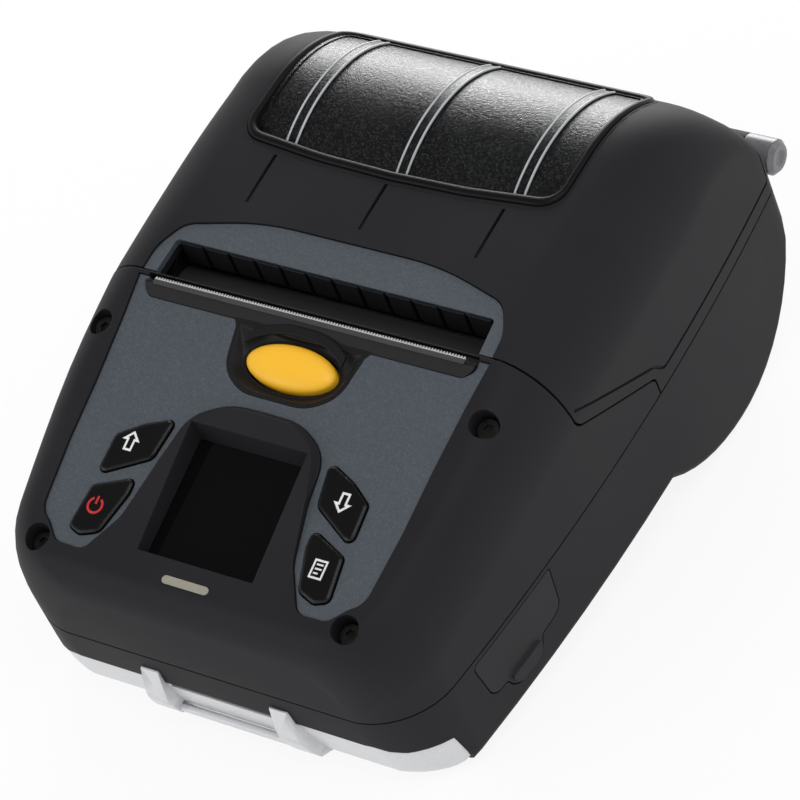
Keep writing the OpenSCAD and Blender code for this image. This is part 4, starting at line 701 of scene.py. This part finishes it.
def blade_steel(name):
    """Dull plate with a painted highlight on its teeth: the colour steps up to bright past the root line of
    the teeth.
    """
    material, tree, shader, coords = blank(name)
    parts = put(tree, "ShaderNodeGroup", {"Vector": coords, "Stretch": (2500.0, 120.0, 120.0),
                                          "Roughness": 0.34, "Spread": 0.15},
                node_tree=SHARED["brush"]).outputs
    root, tip = to_row(on_panel([(0, TOOTH_ROOT, BLADE_RISE), (0, TOOTH_TIP, BLADE_RISE)]))
    along = (tip - root) / np.linalg.norm(tip - root)
    reach = put(tree, "ShaderNodeVectorMath", {0: coords, 1: tuple(along)}, operation="DOT_PRODUCT")
    level = float(root @ along)
    # Painted highlight: past the teeth's root line the colour turns bright, standing in for the glint along
    # the teeth.
    painted_tooth_highlight = put(tree, "ShaderNodeMapRange", {"Value": reach.outputs["Value"], "From Min": level,
                                             "From Max": level + 0.0001})
    colour = mix_colour(tree, painted_tooth_highlight.outputs["Result"], (0.075, 0.075, 0.08, 1), (0.68, 0.68, 0.68, 1))
    tree.links.new(colour, shader.inputs["Base Color"])
    tree.links.new(parts["Roughness"], shader.inputs["Roughness"])
    tree.links.new(edge_normal(tree, 0.0001, parts["Bump Height"], 0.000004), shader.inputs["Normal"])
    shader.inputs["Metallic"].default_value = 0.35
    return material


def finishes(settings):
    """Every finish, by name."""
    SHARED.update(grain=grain_group(), speckle=speckle_group(), brush=brush_group())
    turned = (900.0, 900.0, 900.0)
    return {
        "soft_black": moulded("Soft-touch black", settings.body_colour, 0.6, grain=3000.0, depth=0.000012,
                              specular=0.15),
        "panel": flaked("Slate flake paint", settings.panel_colour, (0.13, 0.15, 0.175),
                        (0.035, 0.042, 0.052), 0.5, shares=(0.3, 0.3)),
        "display": moulded("Display glass", (0.002, 0.002, 0.0022), 0.06, depth=0.0000005, drift=0.02,
                           patch=0.02, specular=0.3),
        "lens": clear_lens("Window plastic"),
        "light_bar": moulded("Light bar ivory", (0.3, 0.285, 0.23), 0.35, depth=0.000004),
        "key": moulded("Key rubber", (0.003, 0.003, 0.0036), 0.22, grain=4000.0, depth=0.00001,
                       edge=0.0009, specular=0.5),
        "seal": moulded("Seal black", (0.005, 0.005, 0.0055), 0.42, depth=0.000002, specular=0.15),
        # Painted highlight: the light grey of the rib wires stands in for glints on the rib edges.
        "rib_edge_highlight": moulded("Rib edge", (0.46, 0.47, 0.49), 0.2, depth=0.00001),
        "yellow": moulded("Button yellow", settings.button_colour, 0.45, depth=0.000005, drift=0.03),
        "silver": flaked("Bumper silver", settings.bumper_colour, (0.88, 0.885, 0.9), (0.6, 0.61, 0.63),
                         0.36, flakes=5000.0, shares=(0.4, 0.3), metallic=0.1, depth=0.000002),
        "hinge": flaked("Hinge silver", (0.16, 0.16, 0.17), (0.3, 0.3, 0.31), (0.1, 0.1, 0.11), 0.3,
                        flakes=5000.0, shares=(0.4, 0.3), metallic=0.2, depth=0.000002),
        "dark": moulded("Inner black plastic", (0.008, 0.008, 0.009), 0.5, depth=0.00001, specular=0.3),
        "rubber": moulded("Black rubber", (0.028, 0.0275, 0.03), 0.65, grain=1800.0, depth=0.00002,
                          specular=0.15),
        "steel": metal("Drawn steel", (0.55, 0.56, 0.58), 0.28),
        "spring": metal("Spring wire", (0.5, 0.5, 0.52), 0.2, stretch=turned),
        "blade": blade_steel("Blade steel"),
        # Painted shade: the screws sit deep in counterbores, and their near-black colour stands in for the
        # shade there.
        "screw": metal("Blackened screw steel", (0.07, 0.068, 0.065), 0.3,
                       stretch=(1200.0, 1200.0, 1200.0)),
        "heat_sink": metal("Cast heat sink", (0.72, 0.73, 0.75), 0.42, stretch=(600.0, 600.0, 600.0),
                           spread=0.2),
        "brass": metal("Brass", (0.7, 0.5, 0.22), 0.3, stretch=turned),
        "board": moulded("Board lacquer", (0.01, 0.1, 0.035), 0.35, grain=900.0, depth=0.00001, drift=0.3),
        "white": moulded("White gear plastic", (0.72, 0.72, 0.68), 0.4, depth=0.000005),
        "silicone": moulded("Silicone", (0.5, 0.5, 0.48), 0.6, depth=0.00001),
        "pack": moulded("Battery case", (0.03, 0.03, 0.034), 0.45, grain=1800.0, depth=0.00002),
        "ink_white": moulded("White print", (0.82, 0.82, 0.82), 0.5, depth=0.000001, drift=0.02),
        "ink_red": moulded("Red print", (0.62, 0.015, 0.012), 0.5, depth=0.000001, drift=0.02),
    }


FINISH_OF = {
    "soft_black": ("bottom_case", "front_cover", "lid"),
    "panel": ("control_panel", "lid_trim"),
    "display": ("display_window",),
    "lens": ("lid_window",),
    "light_bar": ("status_light",),
    "key": ("key_up", "key_down", "key_power", "key_menu"),
    "yellow": ("release_button",),
    "silver": ("front_bumper", "strap_bar", "battery_latch"),
    "hinge": ("hinge_barrels",),
    "dark": ("button_frame", "paper_guide", "media_guide_left", "media_guide_right", "guide_rail",
             "feed_deck"),
    "rubber": ("window_gasket", "platen_roller", "port_cover", "label_sensor"),
    "steel": ("display_module", "platen_shaft", "idler_axle", "drive_motor", "print_chassis", "head_pin",
              "latch_shaft", "hinge_pin", "port_sockets"),
    "spring": ("button_spring", "head_springs", "latch_spring", "lid_spring"),
    "blade": ("tear_bar",),
    "screw": ("cover_screws", "chassis_screws", "board_screws"),
    "heat_sink": ("print_head",),
    "brass": ("platen_bearings", "motor_pinion", "battery_contacts"),
    "board": ("key_board", "main_board", "port_board"),
    "white": ("platen_gear", "idler_gear", "guide_pinion"),
    "silicone": ("key_mat",),
    "pack": ("battery_pack",),
}


# Studio parts


def area_light(name, place, target, size, power):
    """A square softbox at a place, facing a target."""
    light = bpy.data.lights.new(name, "AREA")
    light.shape, light.size, light.energy = "SQUARE", size, power
    obj = bpy.data.objects.new(name, light)
    obj.location = place
    aim = np.array(target) - np.array(place)
    obj.rotation_euler = Euler((math.atan2(math.hypot(aim[0], aim[1]), -aim[2]), 0,
                                math.atan2(aim[1], aim[0]) - math.pi / 2))
    bpy.context.scene.collection.objects.link(obj)
    return obj


def floor_paint(shadow):
    """White paper. The camera and mirror rays see it near white, with a share of its shadows."""
    paint, tree, shader, _ = blank("Studio floor")
    shader.inputs["Base Color"].default_value = (0.9, 0.9, 0.9, 1)
    shader.inputs["Roughness"].default_value = 0.9
    path = tree.nodes.new("ShaderNodeLightPath").outputs
    seen = put(tree, "ShaderNodeMath", {0: path["Is Camera Ray"], 1: path["Is Glossy Ray"]},
               operation="MAXIMUM")
    seen = put(tree, "ShaderNodeMath", {0: seen.outputs[0], 1: path["Is Transmission Ray"]},
               operation="MAXIMUM")
    share = put(tree, "ShaderNodeMath", {0: seen.outputs[0], 1: 1.0 - shadow}, operation="MULTIPLY")
    white = put(tree, "ShaderNodeEmission", {"Color": (1, 1, 1, 1), "Strength": 1.0})
    mixed = put(tree, "ShaderNodeMixShader", {0: share.outputs[0], 1: shader.outputs["BSDF"],
                                              2: white.outputs[0]})
    tree.links.new(mixed.outputs[0], tree.nodes["Material Output"].inputs["Surface"])
    return paint


def studio_world(ambient, ceiling):
    """Even light, a white background for the camera, and a mirror world that darkens overhead."""
    world = bpy.data.worlds.new("Studio")
    world.use_nodes = True
    tree = world.node_tree
    tree.nodes.clear()
    path = tree.nodes.new("ShaderNodeLightPath").outputs
    coords = tree.nodes.new("ShaderNodeTexCoord").outputs["Generated"]
    height = put(tree, "ShaderNodeSeparateXYZ", {"Vector": coords}).outputs["Z"]
    fade = put(tree, "ShaderNodeMapRange", {"Value": height, "From Min": 0.2, "From Max": 0.6,
                                            "To Min": 1.0, "To Max": ceiling})
    even, mirror, white = (
        put(tree, "ShaderNodeBackground", {"Color": (1, 1, 1, 1), "Strength": strength}).outputs[0]
        for strength in (ambient, fade.outputs["Result"], 1.0))
    seen = put(tree, "ShaderNodeMath", {0: path["Is Camera Ray"], 1: path["Is Transmission Ray"]},
               operation="MAXIMUM")
    lit = put(tree, "ShaderNodeMixShader", {0: path["Is Glossy Ray"], 1: even, 2: mirror})
    both = put(tree, "ShaderNodeMixShader", {0: seen.outputs[0], 1: lit.outputs[0], 2: white})
    put(tree, "ShaderNodeOutputWorld", {"Surface": both.outputs[0]})
    return world


# Settings and operators


class PrinterSettings(bpy.types.PropertyGroup):
    """Colours, symbols, camera and light."""

    body_colour: FloatVectorProperty(name="Body", description="Soft-touch plastic of the housing",
                                     subtype="COLOR", default=(0.0165, 0.016, 0.0185), min=0.0, max=1.0)
    panel_colour: FloatVectorProperty(name="Panel", description="Ground colour of the flake paint",
                                      subtype="COLOR", default=(0.064, 0.077, 0.092), min=0.0, max=1.0)
    button_colour: FloatVectorProperty(name="Button", description="Plastic of the release button",
                                       subtype="COLOR", default=(1.0, 0.53, 0.02), min=0.0, max=1.0)
    bumper_colour: FloatVectorProperty(name="Bumper", description="Ground colour of the bumper's paint",
                                       subtype="COLOR", default=(0.74, 0.745, 0.76), min=0.0, max=1.0)
    symbol_rise: FloatProperty(name="Symbol rise", default=0.7,
                               description="Height of the key faces over the panel, in millimetres")
    camera_place: FloatVectorProperty(name="Camera place", description="Position in the row frame",
                                      subtype="TRANSLATION", unit="LENGTH",
                                      default=(0.4755, -0.494587, 0.660777))
    camera_turn: FloatVectorProperty(name="Camera turn", description="Rotation about X, Y and Z",
                                     subtype="EULER",
                                     default=tuple(math.radians(a) for a in (45.7449, 13.2558, 31.3478)))
    lens: FloatProperty(name="Lens", description="Focal length for a 36 mm sensor", default=198.0, min=20.0)
    key_power: FloatProperty(name="Key light", description="Power of the large top light", unit="POWER",
                             default=4.0)
    fill_power: FloatProperty(name="Fill light", description="Power of the front light", unit="POWER",
                              default=2.0)
    rim_power: FloatProperty(name="Rim light", description="Power of the rear light", unit="POWER",
                             default=7.5)
    edge_power: FloatProperty(name="Edge light", description="Power of the small light on the right",
                              unit="POWER", default=0.4)
    ambient: FloatProperty(name="Ambient", description="Strength of the even light", default=0.6, min=0.0)
    ceiling: FloatProperty(name="Ceiling", description="Brightness overhead in mirror reflections",
                           default=0.12, min=0.0)
    shadow: FloatProperty(name="Shadow", description="Share of the floor's shadow that shows",
                          default=0.12, min=0.0, max=1.0)


class PRINTER_OT_finishes(bpy.types.Operator):
    """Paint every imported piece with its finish"""

    bl_idname = "printer.finishes"
    bl_label = "Paint Pieces"

    def execute(self, context):
        made = finishes(context.scene.printer)
        for finish, nodes in FINISH_OF.items():
            for node in nodes:
                mesh = frame["nodes"][node].data
                mesh.materials.clear()
                mesh.materials.append(made[finish])
        missing = set(frame["nodes"]) - {n for nodes in FINISH_OF.values() for n in nodes}
        if missing:
            raise RuntimeError(f"no finish for {sorted(missing)}")
        return {"FINISHED"}


class PRINTER_OT_shells(bpy.types.Operator):
    """Shade the covers and the base from the formulas of their skins"""

    bl_idname = "printer.shells"
    bl_label = "Smooth Shells"

    def execute(self, context):
        shade_shell("front_cover", "front_cover_shell", upper_field)
        shade_shell("lid", "lid_shell", upper_field)
        shade_shell("bottom_case", "bottom_case_shell", lower_field, tucked=True)
        return {"FINISHED"}


class PRINTER_OT_bumper(bpy.types.Operator):
    """Draw the bumper and its strap bar back under the nose"""

    bl_idname = "printer.bumper"
    bl_label = "Bumper"

    def execute(self, context):
        tuck_piece("front_bumper", "bumper")
        tuck_piece("strap_bar", "bumper_bar")
        return {"FINISHED"}


# The seal is its section carried round the window's outline, raised along the lid's normal. Each
# wire is a circle carried along an arc over the glass; its light grey is a painted highlight.


class PRINTER_OT_window(bpy.types.Operator):
    """Round the window's seal and lay light grey wires, painted highlights, on the edges of its ribs"""

    bl_idname = "printer.window"
    bl_label = "Window Seal and Ribs"

    def execute(self, context):
        black, skin, rib_highlight_paint = (bpy.data.materials[name] for name in ("Seal black", "Soft-touch black",
                                                                     "Rib edge"))
        turn = np.radians(np.linspace(180, 0, 9))
        bead = list(zip(BEAD_MIDDLE[0] + BEAD_HALF * np.cos(turn),
                        BEAD_MIDDLE[1] + BEAD_RISE * np.sin(turn)))
        section = [SEAL_FOOT, *bead, *SEAL_EDGE]
        grid = np.stack([on_lid(window_line(grow), rise) for grow, rise in section], 1)
        bands = [0] * (len(bead) + 2) + [1] * (len(SEAL_EDGE) - 1)
        stand_in("window_gasket", "window_seal",
                 sheet_mesh("window_seal", grid, (black, skin), bands, loop=True))

        # Painted highlight: light grey wires along the rib edges stand in for the glints on them.
        first, last = (math.asin((y - ROLL_Y) / ROLL_R)
                       for y in (WINDOW_FRONT + WIRE_FRONT, WINDOW_BACK - WIRE_BACK))
        sweep = np.linspace(first, last, 40)[:, None]
        wire = np.radians(np.arange(0, 360, 45))[None, :]
        radius = GLASS_R + WIRE_RISE + WIRE_R * np.sin(wire)
        middles = [x + side for x in (-RIB_X, 0, RIB_X) for side in (-RIB_HALF, RIB_HALF)]
        for k, middle in enumerate(middles, 1):
            x = np.broadcast_to(middle + WIRE_R * np.cos(wire), (len(sweep), wire.size))
            grid = np.stack((x, ROLL_Y + radius * np.sin(sweep), ROLL_Z + radius * np.cos(sweep)), -1)
            add_piece(f"rib_edge_{k}", sheet_mesh(f"rib_edge_{k}", grid, (rib_highlight_paint,)),
                      frame["nodes"]["lid_window"]["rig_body"])
        return {"FINISHED"}


# The button is a stack of ovals over a round stem. Up the crown the ovals shrink with the sine of
# an angle, and their height falls with a power of one less its cosine.


class PRINTER_OT_button(bpy.types.Operator):
    """Crown the yellow button"""

    bl_idname = "printer.button"
    bl_label = "Release Button"

    def execute(self, context):
        around = np.radians(np.arange(0, 360, 5))
        circle = np.column_stack((np.cos(around), np.sin(around)))
        oval, stem = circle * (BUTTON_L / 2, BUTTON_W / 2), circle * STEM_R
        turn = np.radians(np.linspace(90, 0, 10))
        crown = zip(CROWN_SHARE * np.sin(turn), CROWN_RISE - CROWN_DROP * (1 - np.cos(turn)) ** CROWN_POWER)
        rings = [(stem * 0, STEM_END), (stem, STEM_END), (stem, BUTTON_FOOT),
                 (oval * CROWN_SHARE, BUTTON_FOOT), *((oval * share, z) for share, z in crown)]
        grid = np.stack([np.column_stack((ring + (0, BUTTON_S), np.full(len(ring), z))) for ring, z in rings])
        mesh = sheet_mesh("button_crown", on_panel(grid.reshape(-1, 3)).reshape(grid.shape),
                          (bpy.data.materials["Button yellow"],), crease=50)
        stand_in("release_button", "button_crown", mesh)
        return {"FINISHED"}


class PRINTER_OT_symbols(bpy.types.Operator):
    """Print the symbols on the four keys"""

    bl_idname = "printer.symbols"
    bl_label = "Key Symbols"

    def execute(self, context):
        white, red = bpy.data.materials["White print"], bpy.data.materials["Red print"]
        signs = {"up": (arrow(True), white), "down": (arrow(False), white),
                 "power": (power_sign(), red), "menu": (menu_sign(), white)}
        for key, (bands, ink) in signs.items():
            flat_symbol(f"{key}_symbol", bands, SYMBOL_PLACES[key], context.scene.printer.symbol_rise,
                        f"{key}_key", ink)
        return {"FINISHED"}


class PRINTER_OT_studio(bpy.types.Operator):
    """Set up the floor, the lights and the camera"""

    bl_idname = "printer.studio"
    bl_label = "Studio"

    def execute(self, context):
        scene, settings = context.scene, context.scene.printer
        mesh = bpy.data.meshes.new("studio_floor")
        corners = [(-1, -1, 0), (1, -1, 0), (1, 1, 0), (-1, 1, 0)]
        mesh.from_pydata((np.array(corners) * FLOOR_HALF).tolist(), [], [(0, 1, 2, 3)])
        floor = bpy.data.objects.new("studio_floor", mesh)
        scene.collection.objects.link(floor)
        floor.location.z = -FLOOR_DROP
        mesh.materials.append(floor_paint(settings.shadow))
        scene.world = studio_world(settings.ambient, settings.ceiling)
        for name, place, size, power in SOFTBOXES:
            area_light(name, place, STUDIO_MIDDLE, size, getattr(settings, power))

        camera = bpy.data.cameras.new("Photo camera")
        camera.lens, camera.sensor_width = settings.lens, 36.0
        camera.clip_start, camera.clip_end = 0.05, 20.0
        obj = bpy.data.objects.new("Photo camera", camera)
        obj.location, obj.rotation_euler = settings.camera_place, settings.camera_turn
        scene.collection.objects.link(obj)
        scene.camera = obj
        scene.view_settings.view_transform = "Standard"
        return {"FINISHED"}


class PRINTER_PT_panel(bpy.types.Panel):
    """Buttons and settings in the sidebar"""

    bl_idname = "PRINTER_PT_panel"
    bl_label = "Label Printer"
    bl_space_type = "VIEW_3D"
    bl_region_type = "UI"
    bl_category = "Printer"

    def draw(self, context):
        column = self.layout.column()
        for step in STEPS:
            column.operator(f"printer.{step}")
        for key in PrinterSettings.__annotations__:
            column.prop(context.scene.printer, key)


STEPS = ("finishes", "shells", "bumper", "window", "button", "symbols", "studio")
CLASSES = (PrinterSettings, PRINTER_OT_finishes, PRINTER_OT_shells, PRINTER_OT_bumper, PRINTER_OT_window,
           PRINTER_OT_button, PRINTER_OT_symbols, PRINTER_OT_studio, PRINTER_PT_panel)


def register():
    for cls in CLASSES:
        bpy.utils.register_class(cls)
    bpy.types.Scene.printer = PointerProperty(type=PrinterSettings)


def unregister():
    del bpy.types.Scene.printer
    for cls in reversed(CLASSES):
        bpy.utils.unregister_class(cls)


def main():
    register()
    for step in STEPS:
        getattr(bpy.ops.printer, step)()


if __name__ == "__main__":
    main()
